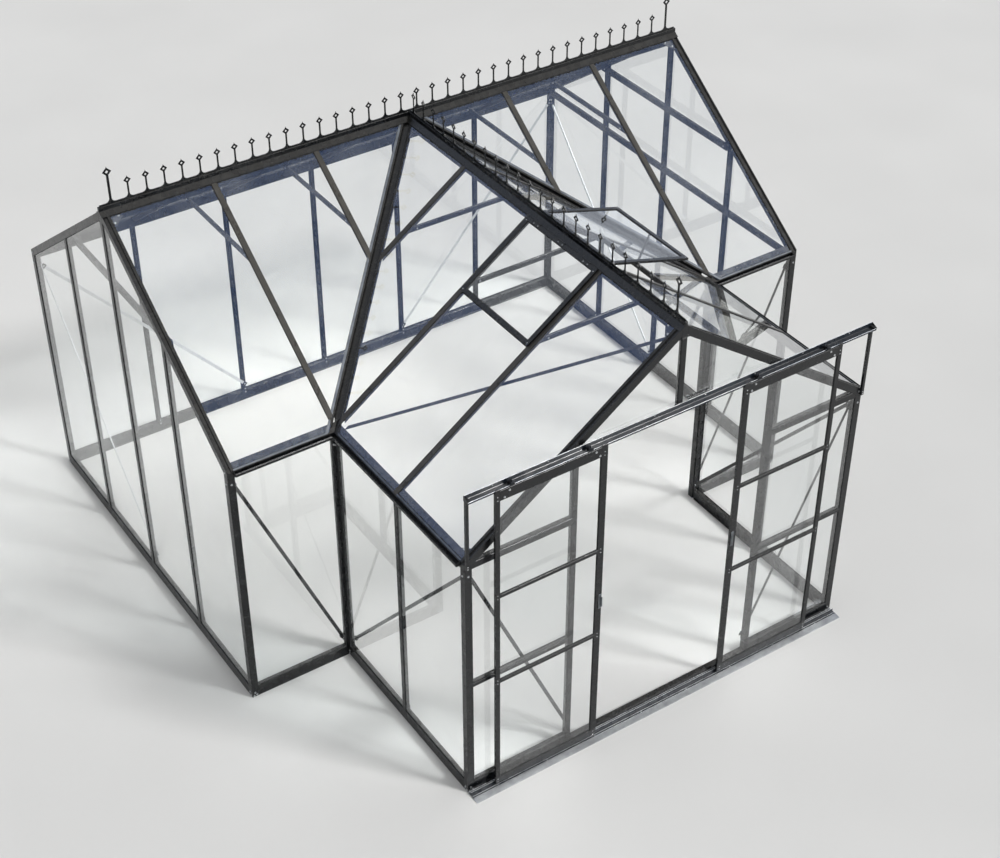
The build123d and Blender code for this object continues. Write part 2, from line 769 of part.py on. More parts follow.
# Level ties across the end gables, inside their rafters, and a lower one across the right
# gable between the eave rails
tie_plane = across_main(main_half - edge - gable_tie_thickness)
with BuildPart() as gable_ties:
    with BuildSketch(tie_plane):
        with Locations((0, gable_tie_level + gable_tie_height / 2)):
            Rectangle(2 * gable_tie_reach, gable_tie_height)
    extrude(amount=gable_tie_thickness)
    mirror(about=Plane.YZ)
    with BuildSketch(tie_plane):
        with Locations((0, eave_underside + gable_tie_height / 2)):
            Rectangle(2 * (side_face - eave_rail_depth), gable_tie_height)
    extrude(amount=gable_tie_thickness)

# Collar ties under opposite roof bars, cut to the slope of their undersides
collar_foot = slope_distance(collar_level, bar_depth)
collar_head = slope_distance(collar_level + collar_height, bar_depth)


def collar():
    """Outline of a collar tie, across its wing."""
    Polygon(
        (-collar_foot, collar_level), (collar_foot, collar_level),
        (collar_head, collar_level + collar_height),
        (-collar_head, collar_level + collar_height), align=None,
    )


with BuildPart() as collar_ties:
    for x in [line for line in main_lines if line != 0]:
        with BuildSketch(across_main(x - collar_thickness / 2)):
            collar()
        extrude(amount=collar_thickness)
    for u in wing_roof_lines:
        with BuildSketch(across_wing(-u + collar_thickness / 2)):
            collar()
        extrude(amount=collar_thickness)

# Diagonal flat braces on the inner side of the walls: the end gables and the back wall
brace_head = eave_underside - brace_top_drop
half_stem = stem_width / 2
with BuildPart() as rear_braces:
    with BuildSketch(across_main(main_face - bar_depth - brace_thickness)):
        brace_strip((gable_half - edge, brace_head), (-half_stem, brace_foot))
    extrude(amount=brace_thickness)
    with BuildSketch(across_wing(side_face - bar_depth)):
        brace_strip(
            (main_half - edge, brace_head), (main_half - 2 * panel_pitch - half_stem, brace_foot)
        )
    extrude(amount=brace_thickness)
    mirror(about=Plane.YZ)

# Braces under the wing's slopes, from the valley's foot up to the ridge at the front gable
roof_brace_foot = (side_face - eave_rail_depth) / cos(pitch)
roof_brace_end = front_face - corner_post
with BuildPart() as roof_braces:
    with BuildSketch(slope(LEFT, bar_depth + brace_thickness)):
        brace_strip((valley_stop, -roof_brace_foot), (roof_brace_end, -roof_brace_head / cos(pitch)))
    extrude(amount=brace_thickness)
    split(bisect_by=valley_side(-valley_body / 2, TO_MAIN), keep=Keep.BOTTOM)

# The shoulder walls, the wing's sides and the door wall
with BuildPart() as front_braces:
    with BuildSketch(across_wing(-side_face + bar_depth + brace_thickness)):
        brace_strip((main_half - edge, brace_head), (valley_stop, brace_foot))
    extrude(amount=brace_thickness)
    with BuildSketch(across_main(side_face - bar_depth - brace_thickness)):
        brace_strip((-(wing_reach - edge), brace_head), (-valley_stop, brace_foot))
    extrude(amount=brace_thickness)
    with BuildSketch(across_wing(-front_face + bar_depth + brace_thickness)):
        brace_strip((gable_half - edge, brace_head), (jamb_inner, brace_foot))
    extrude(amount=brace_thickness)
    add(roof_braces.part)
    mirror(about=Plane.YZ)

# Track over the doors: a channel, open above, with a low front lip that the leaves hang over
track_front = -front_face - track_depth
track_profile = (
    (-front_face, track_level), (-front_face, track_level + track_height),
    (-front_face - track_wall, track_level + track_height),
    (-front_face - track_wall, track_level + track_floor),
    (track_front + track_wall, track_level + track_floor),
    (track_front + track_wall, track_level + track_lip_height),
    (track_front, track_level + track_lip_height), (track_front, track_level),
)
with BuildPart() as door_head_track:
    with BuildSketch(across_main(-side_face)):
        Polygon(*track_profile, align=None)
    extrude(amount=2 * side_face)

with BuildPart() as track_struts:
    with BuildSketch(plan.offset(strut_foot)):
        with Locations((-side_face + strut_width / 2, -front_face - strut_width / 2)):
            Rectangle(strut_width, strut_width)
    extrude(amount=track_level - strut_foot)
    mirror(about=Plane.YZ)

# Track under the doors, with a guide fin behind the leaves
with BuildPart() as door_floor_track:
    with BuildSketch(across_main(-side_face)):
        with Locations((-front_face - floor_track_depth / 2, floor_track_thickness / 2)):
            Rectangle(floor_track_depth, floor_track_thickness)
        fin_middle = leaf_thickness / 2 + leaf_clearance + track_fin / 2
        with Locations((-door_plane + fin_middle, floor_track_thickness + track_fin_height / 2)):
            Rectangle(track_fin, track_fin_height)
    extrude(amount=2 * side_face)

with BuildPart() as threshold_ramp:
    with BuildSketch(across_main(-side_face)):
        ramp_back = -front_face - floor_track_depth
        Polygon(
            (ramp_back, 0), (ramp_back, floor_track_thickness), (-front_reach, ramp_edge),
            (-front_reach, 0), align=None,
        )
    extrude(amount=2 * side_face)

# Wall glass
with BuildPart() as glass_back_wall:
    with BuildSketch(plan.offset(pane_bottom)):
        with Locations(*[(x, side_face - glass_centre) for x in main_middles]):
            Rectangle(pane_width, glass_thickness)
    extrude(amount=pane_top - pane_bottom)

gable_pane_head = ridge_underside - glass_gap
with BuildPart() as glass_end_gables:
    with BuildSketch(plan.offset(pane_bottom)):
        for side in (-1, 1):
            with Locations(*[(side * (main_face - glass_centre), y) for y in gable_middles]):
                Rectangle(glass_thickness, pane_width)
    extrude(amount=gable_pane_head - pane_bottom)
    split(bisect_by=slope(FRONT, rafter_depth - pane_bite), keep=Keep.BOTTOM)
    split(bisect_by=slope(BACK, rafter_depth - pane_bite), keep=Keep.BOTTOM)

# Panes next to the valley posts stop short of the corner, inside the posts' lips
valley_pane_edge = side_face + glass_gap
with BuildPart() as glass_shoulder_walls:
    with BuildSketch(plan.offset(pane_bottom)):
        outer_edge = main_half - pane_edge
        for side in (-1, 1):
            with Locations((side * (outer_edge + valley_pane_edge) / 2, -side_face + glass_centre)):
                Rectangle(outer_edge - valley_pane_edge, glass_thickness)
    extrude(amount=pane_top - pane_bottom)

with BuildPart() as glass_wing_sides:
    with BuildSketch(plan.offset(pane_bottom)):
        for i in range(wing_panels):
            near = gable_half + i * panel_pitch + pane_edge if i else valley_pane_edge
            far = gable_half + (i + 1) * panel_pitch - pane_edge
            with Locations((-side_face + glass_centre, -(near + far) / 2)):
                Rectangle(glass_thickness, far - near)
    extrude(amount=pane_top - pane_bottom)
    mirror(about=Plane.YZ)

# Door wall glass: three panes, one over another, beside each jamb and two over the header
jamb_pane_edge = jamb_outer - pane_bite + glass_gap
outer_pane_edge = gable_half - pane_edge
with BuildPart() as glass_door_wall:
    with BuildSketch(plan.offset(pane_bottom)):
        with Locations(((jamb_pane_edge + outer_pane_edge) / 2, -front_face + glass_centre)):
            Rectangle(outer_pane_edge - jamb_pane_edge, glass_thickness)
    extrude(amount=mid_rail_level + pane_bite - pane_bottom)
    middle_foot = mid_rail_level + mid_rail_height - pane_bite
    with BuildSketch(plan.offset(middle_foot)):
        with Locations(((jamb_pane_edge + outer_pane_edge) / 2, -front_face + glass_centre)):
            Rectangle(outer_pane_edge - jamb_pane_edge, glass_thickness)
    extrude(amount=side_rail_level + pane_bite - middle_foot)
    upper_foot = side_rail_level + side_rail_height - pane_bite
    with BuildSketch(plan.offset(upper_foot)):
        upper_reach = gable_half - edge - pane_play
        with Locations(((jamb_pane_edge + upper_reach) / 2, -front_face + glass_centre)):
            Rectangle(upper_reach - jamb_pane_edge, glass_thickness)
    extrude(amount=gable_pane_head - upper_foot)
    head_foot = header_level + header_height - pane_bite
    with BuildSketch(plan.offset(head_foot)):
        head_reach = jamb_inner - pane_play
        with Locations(((pane_edge + head_reach) / 2, -front_face + glass_centre)):
            Rectangle(head_reach - pane_edge, glass_thickness)
    extrude(amount=gable_pane_head - head_foot)
    split(bisect_by=slope(RIGHT, rafter_depth - pane_bite), keep=Keep.BOTTOM)
    mirror(about=Plane.YZ)

# Roof glass: from beside the ridge beam down to the lip of the eave rail
pane_under = glass_seat - glass_gap
roof_pane_top = (ridge_half + pane_play) / cos(pitch) + pane_under * tan(pitch)
roof_pane_foot = (side_face - pane_play) / cos(pitch)
roof_pane_length = roof_pane_foot - roof_pane_top
roof_pane_middle = -(roof_pane_top + roof_pane_foot) / 2
valley_pane_gap = valley_body / 2 + pane_play
with BuildPart() as roof_glass_front:
    with BuildSketch(slope(FRONT, pane_under)):
        with Locations(*[(u, roof_pane_middle) for u in main_middles if u < 0]):
            Rectangle(pane_width, roof_pane_length)
    extrude(amount=glass_thickness)
    split(bisect_by=valley_side(valley_pane_gap, TO_MAIN), keep=Keep.TOP)
    mirror(about=Plane.YZ)

with BuildPart() as roof_glass_main:
    with BuildSketch(slope(BACK, pane_under)):
        with Locations(*[(u, roof_pane_middle) for u in main_middles]):
            Rectangle(pane_width, roof_pane_length)
    extrude(amount=glass_thickness)
    add(roof_glass_front.part)

# The third panel of each wing slope is short, because a vent fills it from the ridge down
hinge_run = ridge_cap_leg + hinge_gap
sill_head = hinge_run + vent_length - vent_bar / 2 - sill_width / 2
sill_tail = sill_head + sill_width
vent_panel = gable_panels // 2
short_pane_top = sill_tail - pane_bite
wing_panel_count = gable_panels // 2 + wing_panels
with BuildPart() as roof_glass_wing:
    with BuildSketch(slope(LEFT, pane_under)):
        for i in range(wing_panel_count):
            top = short_pane_top if i == vent_panel else roof_pane_top
            with Locations(((i + 0.5) * panel_pitch, -(top + roof_pane_foot) / 2)):
                Rectangle(pane_width, roof_pane_foot - top)
    extrude(amount=glass_thickness)
    split(bisect_by=valley_side(-valley_pane_gap, TO_MAIN), keep=Keep.BOTTOM)
    mirror(about=Plane.YZ)

# Vent sills between the roof bars, slotted below for the short pane
vent_line = (vent_panel + 0.5) * panel_pitch
with BuildPart() as vent_sills:
    with BuildSketch(slope(LEFT, sill_depth)):
        with Locations((vent_line, -(sill_head + sill_tail) / 2)):
            Rectangle(panel_pitch - cap_width, sill_width)
    extrude(amount=sill_depth)
    with BuildSketch(slope(LEFT, glass_seat)):
        with Locations((vent_line, -(sill_tail - slot_depth / 2))):
            Rectangle(panel_pitch - cap_width, slot_depth)
    extrude(amount=glass_slot, mode=Mode.SUBTRACT)
    mirror(about=Plane.YZ)


# Vents: hinged at the ridge cap's edge, the left one shut and the right one propped open
def vent_plane(side, lift, height):
    """Plane of a vent at a height over its underside, from its hinge; its y runs up the slope."""
    tilt = pitch - radians(lift)
    normal = Vector(side * sin(tilt), 0, cos(tilt))
    hinge_x = side * hinge_run * cos(pitch)
    hinge_z = ridge_height - hinge_run * sin(pitch)
    origin = Vector(hinge_x, ridge_y - vent_line, hinge_z) + normal * height
    return Plane(origin=origin, x_dir=(0, side, 0), z_dir=normal)


vent_states = ((-1, 0.0), (1, vent_lift))
vent_slot_floor = (vent_thickness - glass_slot) / 2
with BuildPart() as vent_frames:
    for side, lift in vent_states:
        with BuildSketch(vent_plane(side, lift, 0)):
            with Locations((0, -vent_length / 2)):
                Rectangle(vent_width, vent_length)
                Rectangle(vent_width - 2 * vent_bar, vent_length - 2 * vent_bar, mode=Mode.SUBTRACT)
        extrude(amount=vent_thickness)
        with BuildSketch(vent_plane(side, lift, vent_slot_floor)):
            with Locations((0, -vent_length / 2)):
                Rectangle(
                    vent_width - 2 * (vent_bar - vent_slot), vent_length - 2 * (vent_bar - vent_slot)
                )
        extrude(amount=glass_slot, mode=Mode.SUBTRACT)

with BuildPart() as vent_glass:
    for side, lift in vent_states:
        with BuildSketch(vent_plane(side, lift, vent_slot_floor + glass_gap)):
            with Locations((0, -vent_length / 2)):
                Rectangle(
                    vent_width - 2 * (vent_bar - vent_slot + glass_gap),
                    vent_length - 2 * (vent_bar - vent_slot + glass_gap),
                )
        extrude(amount=glass_thickness)

# Stay of the open vent, from the sill up to the vent's lower bar
stay_head = vent_length - stay_inset
stay_tilt = pitch - radians(vent_lift)
stay_points = []
for distance in (sill_head + stay_inset, sill_head + stay_inset + stay_width):
    stay_points.append((distance * cos(pitch), ridge_height - distance * sin(pitch)))
for distance in (stay_head, stay_head - stay_width):
    stay_points.append((
        hinge_run * cos(pitch) + distance * cos(stay_tilt),
        ridge_height - hinge_run * sin(pitch) - distance * sin(stay_tilt),
    ))
with BuildPart() as vent_stay:
    with BuildSketch(across_wing(-vent_line + stay_width / 2)):
        Polygon(*stay_points, align=None)
    extrude(amount=stay_width)

# Door leaves: the left one is made about x = 0 in the plane of the doors, its closing stile on
# the right; the right one is its mirror image
leaf_head = track_level - leaf_clearance
leaf_height = leaf_head - leaf_foot
rail_start = stile_width - leaf_width / 2
rail_length = leaf_width - stile_width - closing_stile_width
rail_middle = rail_start + rail_length / 2
stile_bands = ((rail_start - stile_width / 2, stile_width),
               (rail_start + rail_length + closing_stile_width / 2, closing_stile_width))
top_rail_level = leaf_head - top_rail_height
rail_bands = [(leaf_foot, bottom_rail_height, True, False)]
rail_bands += [(level, cross_rail_height, True, True) for level in cross_rail_levels]
rail_bands.append((top_rail_level, top_rail_height, False, True))
leaf_front = door_plane + leaf_thickness / 2
leaf_back = across_wing(-door_plane + leaf_thickness / 2)
plate_back = across_wing(-leaf_front + top_plate_thickness)
slot_back = across_wing(-door_plane + glass_slot / 2)
pane_back = across_wing(-door_plane + glass_thickness / 2)
top_plate_head = track_level + track_lip_height
top_plate_middle = top_plate_head - top_plate_height / 2

with BuildPart() as leaf_stiles:
    with BuildSketch(leaf_back):
        for middle, width in stile_bands:
            with Locations((middle, leaf_foot + leaf_height / 2)):
                Rectangle(width, leaf_height)
    extrude(amount=leaf_thickness)
    with BuildSketch(slot_back):
        slot_x = rail_length / 2 + slot_depth / 2
        with Locations(*[
            (rail_middle + side * slot_x, leaf_foot + leaf_height / 2) for side in (-1, 1)
        ]):
            Rectangle(slot_depth, leaf_height)
    extrude(amount=glass_slot, mode=Mode.SUBTRACT)
    with BuildSketch(plate_back):
        for middle, width in stile_bands:
            with Locations((middle, leaf_head)):
                Rectangle(width, 2 * stile_rise)
    extrude(amount=top_plate_thickness)

with BuildPart() as leaf_rails:
    for level, height, top_slot, bottom_slot in rail_bands:
        with BuildSketch(leaf_back):
            with Locations((rail_middle, level + height / 2)):
                Rectangle(rail_length, height)
        extrude(amount=leaf_thickness)
        with BuildSketch(slot_back):
            if top_slot:
                with Locations((rail_middle, level + height - slot_depth / 2)):
                    Rectangle(rail_length, slot_depth)
            if bottom_slot:
                with Locations((rail_middle, level + slot_depth / 2)):
                    Rectangle(rail_length, slot_depth)
        extrude(amount=glass_slot, mode=Mode.SUBTRACT)
    with BuildSketch(plate_back):
        with Locations((rail_middle, top_plate_middle)):
            Rectangle(rail_length, top_plate_height)
    extrude(amount=top_plate_thickness)

with BuildPart() as leaf_glass:
    for lower, upper in zip(rail_bands, rail_bands[1:]):
        foot = lower[0] + lower[1] - pane_bite
        head = upper[0] + pane_bite
        with BuildSketch(pane_back):
            with Locations((rail_middle, (foot + head) / 2)):
                Rectangle(rail_length + 2 * pane_bite, head - foot)
        extrude(amount=glass_thickness)

# Rollers: a lug on top of the plate, an axle over the track's lip and a wheel in the channel
roller_radius = axle_level - track_level - track_floor - roller_gap
channel_middle = front_face + track_depth / 2
hubs = [(x, axle_level) for x in (-roller_offset, roller_offset)]
with BuildPart() as leaf_rollers:
    with BuildSketch(plate_back):
        with Locations(*hubs):
            Circle(hanger_width / 2)
        lug_height = axle_level - top_plate_head
        with Locations(*[(x, z - lug_height / 2) for x, z in hubs]):
            Rectangle(hanger_width, lug_height)
        with Locations(*[(x, top_plate_head - hanger_width / 2) for x, z in hubs]):
            Rectangle(hanger_width, hanger_width, mode=Mode.SUBTRACT)
    extrude(amount=top_plate_thickness)
    with BuildSketch(across_wing(-channel_middle)):
        with Locations(*hubs):
            Circle(axle_radius)
    extrude(amount=leaf_front - channel_middle)
    with BuildSketch(across_wing(-channel_middle + roller_width / 2)):
        with Locations(*hubs):
            Circle(roller_radius)
    extrude(amount=roller_width)

# Every fixed piece is one node, named as here
fixed_pieces = {
    "base_rails": base_rails, "corner_posts": corner_posts, "valley_posts": valley_posts,
    "wall_bars": wall_bars, "gable_bars": gable_bars, "door_wall_posts": door_wall_posts,
    "door_wall_rails": door_wall_rails, "eave_rails": eave_rails,
    "ridge_beam_main": ridge_beam_main, "ridge_beam_wing": ridge_beam_wing,
    "gable_rafters": gable_rafters, "roof_bars_main": roof_bars_main,
    "roof_bars_wing": roof_bars_wing, "valley_rafters": valley_rafters,
    "ridge_cap_main": ridge_cap_main, "ridge_cap_wing": ridge_cap_wing,
    "cresting_main": cresting_main, "cresting_wing": cresting_wing, "gable_ties": gable_ties,
    "collar_ties": collar_ties, "rear_braces": rear_braces, "front_braces": front_braces,
    "door_head_track": door_head_track, "track_struts": track_struts,
    "door_floor_track": door_floor_track, "threshold_ramp": threshold_ramp,
    "glass_back_wall": glass_back_wall,
    "glass_end_gables": glass_end_gables, "glass_shoulder_walls": glass_shoulder_walls,
    "glass_wing_sides": glass_wing_sides, "glass_door_wall": glass_door_wall,
    "roof_glass_main": roof_glass_main, "roof_glass_wing": roof_glass_wing,
    "vent_sills": vent_sills, "vent_frames": vent_frames, "vent_glass": vent_glass,
    "vent_stay": vent_stay,
}
for name, piece in fixed_pieces.items():
    piece.part.label = name
    export_step(piece.part, f"parts/{name}.step")

# The two leaves, left and right of the doorway's middle
leaf_pieces = {
    "stiles": leaf_stiles, "rails": leaf_rails, "glass": leaf_glass, "rollers": leaf_rollers,
}
for name, piece in leaf_pieces.items():
    left_leaf = Pos(left_leaf_centre, 0, 0) * piece.part
    left_leaf.label = f"left_door_{name}"
    export_step(left_leaf, f"parts/{left_leaf.label}.step")
    right_leaf = Pos(right_leaf_centre, 0, 0) * piece.part.mirror(Plane.YZ)
    right_leaf.label = f"right_door_{name}"
    export_step(right_leaf, f"parts/{right_leaf.label}.step")
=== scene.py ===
"""Finishes, seals, fixings and studio for a T-shaped glass greenhouse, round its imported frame.

The frame's own pieces keep their shapes and get their finishes here. The small fittings that
hold them together are made round them: rubber seals, glass stops, bolts, screws, cleats,
gusset plates, hinges and brushes. Lengths are metres in the frame's axes: Z up, the sliding
doors facing -Y, the main ridge along X and the wing's ridge along Y.
"""

import json
import logging
from collections.abc import Iterable, Sequence
from dataclasses import dataclass, field
from enum import Enum
from math import atan2, cos, pi, radians, sin, sqrt, tan

import bmesh
import bpy
import numpy as np
from mathutils import Matrix, Vector

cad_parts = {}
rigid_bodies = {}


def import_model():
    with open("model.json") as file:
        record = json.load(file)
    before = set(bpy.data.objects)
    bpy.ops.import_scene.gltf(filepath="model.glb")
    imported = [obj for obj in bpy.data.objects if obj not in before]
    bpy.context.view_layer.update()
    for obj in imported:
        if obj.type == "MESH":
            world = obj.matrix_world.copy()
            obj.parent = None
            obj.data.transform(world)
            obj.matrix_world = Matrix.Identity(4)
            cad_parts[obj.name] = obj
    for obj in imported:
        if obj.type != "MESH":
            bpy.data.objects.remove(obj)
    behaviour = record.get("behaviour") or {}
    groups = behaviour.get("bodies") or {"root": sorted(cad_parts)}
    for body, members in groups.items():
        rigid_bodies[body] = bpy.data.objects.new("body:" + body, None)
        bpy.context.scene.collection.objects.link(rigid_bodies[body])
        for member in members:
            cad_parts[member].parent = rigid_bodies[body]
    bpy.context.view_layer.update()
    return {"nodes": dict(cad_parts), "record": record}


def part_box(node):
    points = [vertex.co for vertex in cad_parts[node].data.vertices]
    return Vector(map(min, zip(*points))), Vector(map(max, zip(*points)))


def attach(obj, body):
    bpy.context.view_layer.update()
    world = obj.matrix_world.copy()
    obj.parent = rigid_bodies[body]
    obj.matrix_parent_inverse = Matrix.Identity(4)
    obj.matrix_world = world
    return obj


for leftover in list(bpy.data.objects):
    bpy.data.objects.remove(leftover)
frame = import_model()

LOG = logging.getLogger("greenhouse")
MM = 0.001
SAME_POINT = 0.001 * MM
ON_PLANE = 0.0001 * MM
SLIVER = 2 * MM
SMOOTH_UNDER = radians(38)
EVEN = (1.0, 1.0, 1.0)
LEVEL_FROM, LEVEL_FULL = 0.25, 0.95

# Sockets of the mix node for colours: the share of the second colour, both colours, the result.
MIX_SHARE, MIX_FIRST, MIX_SECOND, MIX_COLOUR = 0, 6, 7, 2

Span = tuple[float, float]
Point = tuple[float, float]
Cut = tuple[Vector, Vector]


class Facing(Enum):
    """The way that a wall or a roof slope faces, as x and y."""

    FRONT = (0, -1)
    BACK = (0, 1)
    LEFT = (-1, 0)
    RIGHT = (1, 0)


class Side(Enum):
    """The left or the right one of a pair, as its sign on x."""

    LEFT = -1
    RIGHT = 1


class Slot(Enum):
    """The record's material slots."""

    BLACK = "black_aluminium"
    BARE = "bare_aluminium"
    GLASS = "clear_glass"
    STEEL = "roller_steel"


def linear(hex_colour: str) -> tuple[float, float, float, float]:
    """Turns an sRGB hex colour into the linear values that a shader takes.

    Args:
        hex_colour: six hex digits after a #.

    Returns:
        Red, green, blue and an alpha of 1.
    """
    channels = [int(hex_colour[i:i + 2], 16) / 255 for i in (1, 3, 5)]
    bent = [c / 12.92 if c <= 0.04045 else ((c + 0.055) / 1.055) ** 2.4 for c in channels]
    return (*bent, 1.0)


def per_metre(size_mm: float) -> float:
    """Scale of a pattern whose features are this many millimetres across."""
    return 1.0 / (size_mm * MM)


def add_node(
    tree: bpy.types.NodeTree,
    kind: str,
    inputs: dict[str | int, object] | None = None,
    output: str | int = 0,
    **settings: object,
) -> bpy.types.NodeSocket | None:
    """Adds one node to a tree, with its settings, values and links.

    Args:
        tree: the node tree that it goes into.
        kind: the node's type.
        inputs: by socket name or number, a value or the output socket that feeds it.
        output: name or number of the output socket that is wanted.
        settings: the node's own properties.

    Returns:
        The output socket, or nothing for a node that ends the tree.
    """
    node = tree.nodes.new(kind)
    for name, value in settings.items():
        setattr(node, name, value)
    for socket, value in (inputs or {}).items():
        if isinstance(value, bpy.types.NodeSocket):
            tree.links.new(value, node.inputs[socket])
        else:
            node.inputs[socket].default_value = value
    return node.outputs[output] if node.outputs else None


def grain(
    tree: bpy.types.NodeTree, size_mm: float, detail: float,
    spread: Span = (0.0, 1.0), values: Span = (0.0, 1.0),
    stretch: tuple[float, float, float] = EVEN,
) -> bpy.types.NodeSocket:
    """Soft random grain of a real size, on object coordinates.

    Args:
        tree: the node tree that it goes into.
        size_mm: size of its features.
        detail: octaves of finer grain.
        spread: the part of its range that is used, held at both ends.
        values: what that part is mapped to.
        stretch: how much the coordinates are scaled on each axis before it.

    Returns:
        The grain's value.
    """
    place = add_node(tree, "ShaderNodeTexCoord", output="Object")
    scaled = add_node(tree, "ShaderNodeMapping", {"Vector": place, "Scale": stretch})
    raw = add_node(tree, "ShaderNodeTexNoise", {
        "Vector": scaled, "Scale": per_metre(size_mm), "Detail": detail,
    })
    return add_node(tree, "ShaderNodeMapRange", {
        "Value": raw, "From Min": spread[0], "From Max": spread[1],
        "To Min": values[0], "To Max": values[1],
    })


def facing_up(tree: bpy.types.NodeTree) -> bpy.types.NodeSocket:
    """Share by which a surface faces upwards, where dust and rain marks stay.

    Args:
        tree: the node tree that it goes into.

    Returns:
        The share, from 0 on a steep face to 1 on a level one.
    """
    normal = add_node(tree, "ShaderNodeNewGeometry", output="Normal")
    height = add_node(tree, "ShaderNodeSeparateXYZ", {"Vector": normal}, "Z")
    return add_node(tree, "ShaderNodeMapRange", {
        "Value": height, "From Min": LEVEL_FROM, "From Max": LEVEL_FULL,
    })


@dataclass(frozen=True)
class Finish:
    """A surface finish: its name, the record's slot that it belongs to and its shader."""

    name: str
    slot: Slot

    def material(self) -> bpy.types.Material:
        """The finish as a material, made the first time that it is asked for.

        Returns:
            The material.
        """
        found = bpy.data.materials.get(self.name)
        if found:
            return found
        made = bpy.data.materials.new(self.name)
        made.use_nodes = True
        made.node_tree.nodes.clear()
        surface = self.shade(made.node_tree)
        add_node(made.node_tree, "ShaderNodeOutputMaterial", {"Surface": surface})
        return made

    def shade(self, tree: bpy.types.NodeTree) -> bpy.types.NodeSocket:
        """Builds the shader; each kind of finish has its own."""
        raise NotImplementedError

    def dress(self, node: str) -> None:
        """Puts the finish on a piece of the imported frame.

        Args:
            node: the piece's name in the frame.
        """
        piece = frame["nodes"][node]
        piece.data.materials.clear()
        piece.data.materials.append(self.material())


@dataclass(frozen=True)
class PowderCoat(Finish):
    """Satin powder coat baked on extruded aluminium."""

    colour: str = "#08090b"
    worn: str = "#101215"
    dust: str = "#6f6a62"
    # Colour of the bare rubbed band: wear, and also a painted highlight line.
    rubbed_glint: str = "#c8cacc"
    dust_share: float = 0.16
    thin_dust: float = 0.3
    roughness: float = 0.25
    smoother: float = 0.05
    rougher: float = 0.09
    rubbed_roughness: float = 0.38
    ior: float = 1.46
    peel: float = 0.12
    peel_depth_mm: float = 0.12
    peel_mm: float = 2.2
    cloud_mm: float = 180.0
    dust_mm: float = 26.0
    gloss_mm: float = 60.0
    rub_mm: float = 40.0
    rub_edge_mm: float = 0.3
    cloud_spread: Span = (0.35, 0.7)
    dust_spread: Span = (0.35, 0.68)
    gloss_spread: Span = (0.3, 0.7)
    rub_spread: Span = (0.25, 0.45)
    rub_values: Span = (0.6, 1.0)
    bare_above: float | None = None

    def shade(self, tree: bpy.types.NodeTree) -> bpy.types.NodeSocket:
        """Baked polyester powder: a skin with fine orange peel that softens what it mirrors.

        The eye sees a near-black that turns grey where it catches the sky, a little cloudy along
        a bar's length, with a pale film of dust on what faces up.

        Args:
            tree: the material's node tree.

        Returns:
            The surface's shader.
        """
        cloud = grain(tree, self.cloud_mm, 3.0, self.cloud_spread)
        base = add_node(tree, "ShaderNodeMix", {
            MIX_SHARE: cloud, MIX_FIRST: linear(self.colour), MIX_SECOND: linear(self.worn),
        }, MIX_COLOUR, data_type="RGBA")
        shares = (self.thin_dust * self.dust_share, self.dust_share)
        specks = grain(tree, self.dust_mm, 4.0, self.dust_spread, shares)
        film = add_node(tree, "ShaderNodeMath", {0: facing_up(tree), 1: specks}, operation="MULTIPLY")
        dusty = add_node(tree, "ShaderNodeMix", {
            MIX_SHARE: film, MIX_FIRST: base, MIX_SECOND: linear(self.dust),
        }, MIX_COLOUR, data_type="RGBA")
        sheen = (self.roughness - self.smoother, self.roughness + self.rougher)
        gloss = grain(tree, self.gloss_mm, 3.0, self.gloss_spread, sheen)
        peel = add_node(tree, "ShaderNodeBump", {
            "Strength": self.peel, "Distance": self.peel_depth_mm * MM,
            "Height": grain(tree, self.peel_mm, 1.0),
        })
        coat = add_node(tree, "ShaderNodeBsdfPrincipled", {
            "Base Color": dusty, "Roughness": gloss, "IOR": self.ior, "Normal": peel,
        })
        return coat if self.bare_above is None else self.worn_through_glint(tree, coat)

    def worn_through_glint(
        self, tree: bpy.types.NodeTree, coat: bpy.types.NodeSocket,
    ) -> bpy.types.NodeSocket:
        """Bare aluminium on the tops that the doors run along, above a height, over the coat: rubbed wear
        that is also a painted highlight line.

        Args:
            tree: the material's node tree.
            coat: the coat's shader.

        Returns:
            The shader of both.
        """
        place = add_node(tree, "ShaderNodeTexCoord", output="Object")
        height = add_node(tree, "ShaderNodeSeparateXYZ", {"Vector": place}, "Z")
        full = self.bare_above + self.rub_edge_mm * MM
        top = add_node(tree, "ShaderNodeMapRange", {
            "Value": height, "From Min": self.bare_above, "From Max": full,
        })
        runs = grain(tree, self.rub_mm, 3.0, self.rub_spread, self.rub_values)
        level = add_node(tree, "ShaderNodeMath", {0: top, 1: facing_up(tree)}, operation="MULTIPLY")
        share = add_node(tree, "ShaderNodeMath", {0: level, 1: runs}, operation="MULTIPLY")
        metal = add_node(tree, "ShaderNodeBsdfPrincipled", {
            "Base Color": linear(self.rubbed_glint), "Metallic": 1.0, "Roughness": self.rubbed_roughness,
        })
        return add_node(tree, "ShaderNodeMixShader", {0: share, 1: coat, 2: metal})


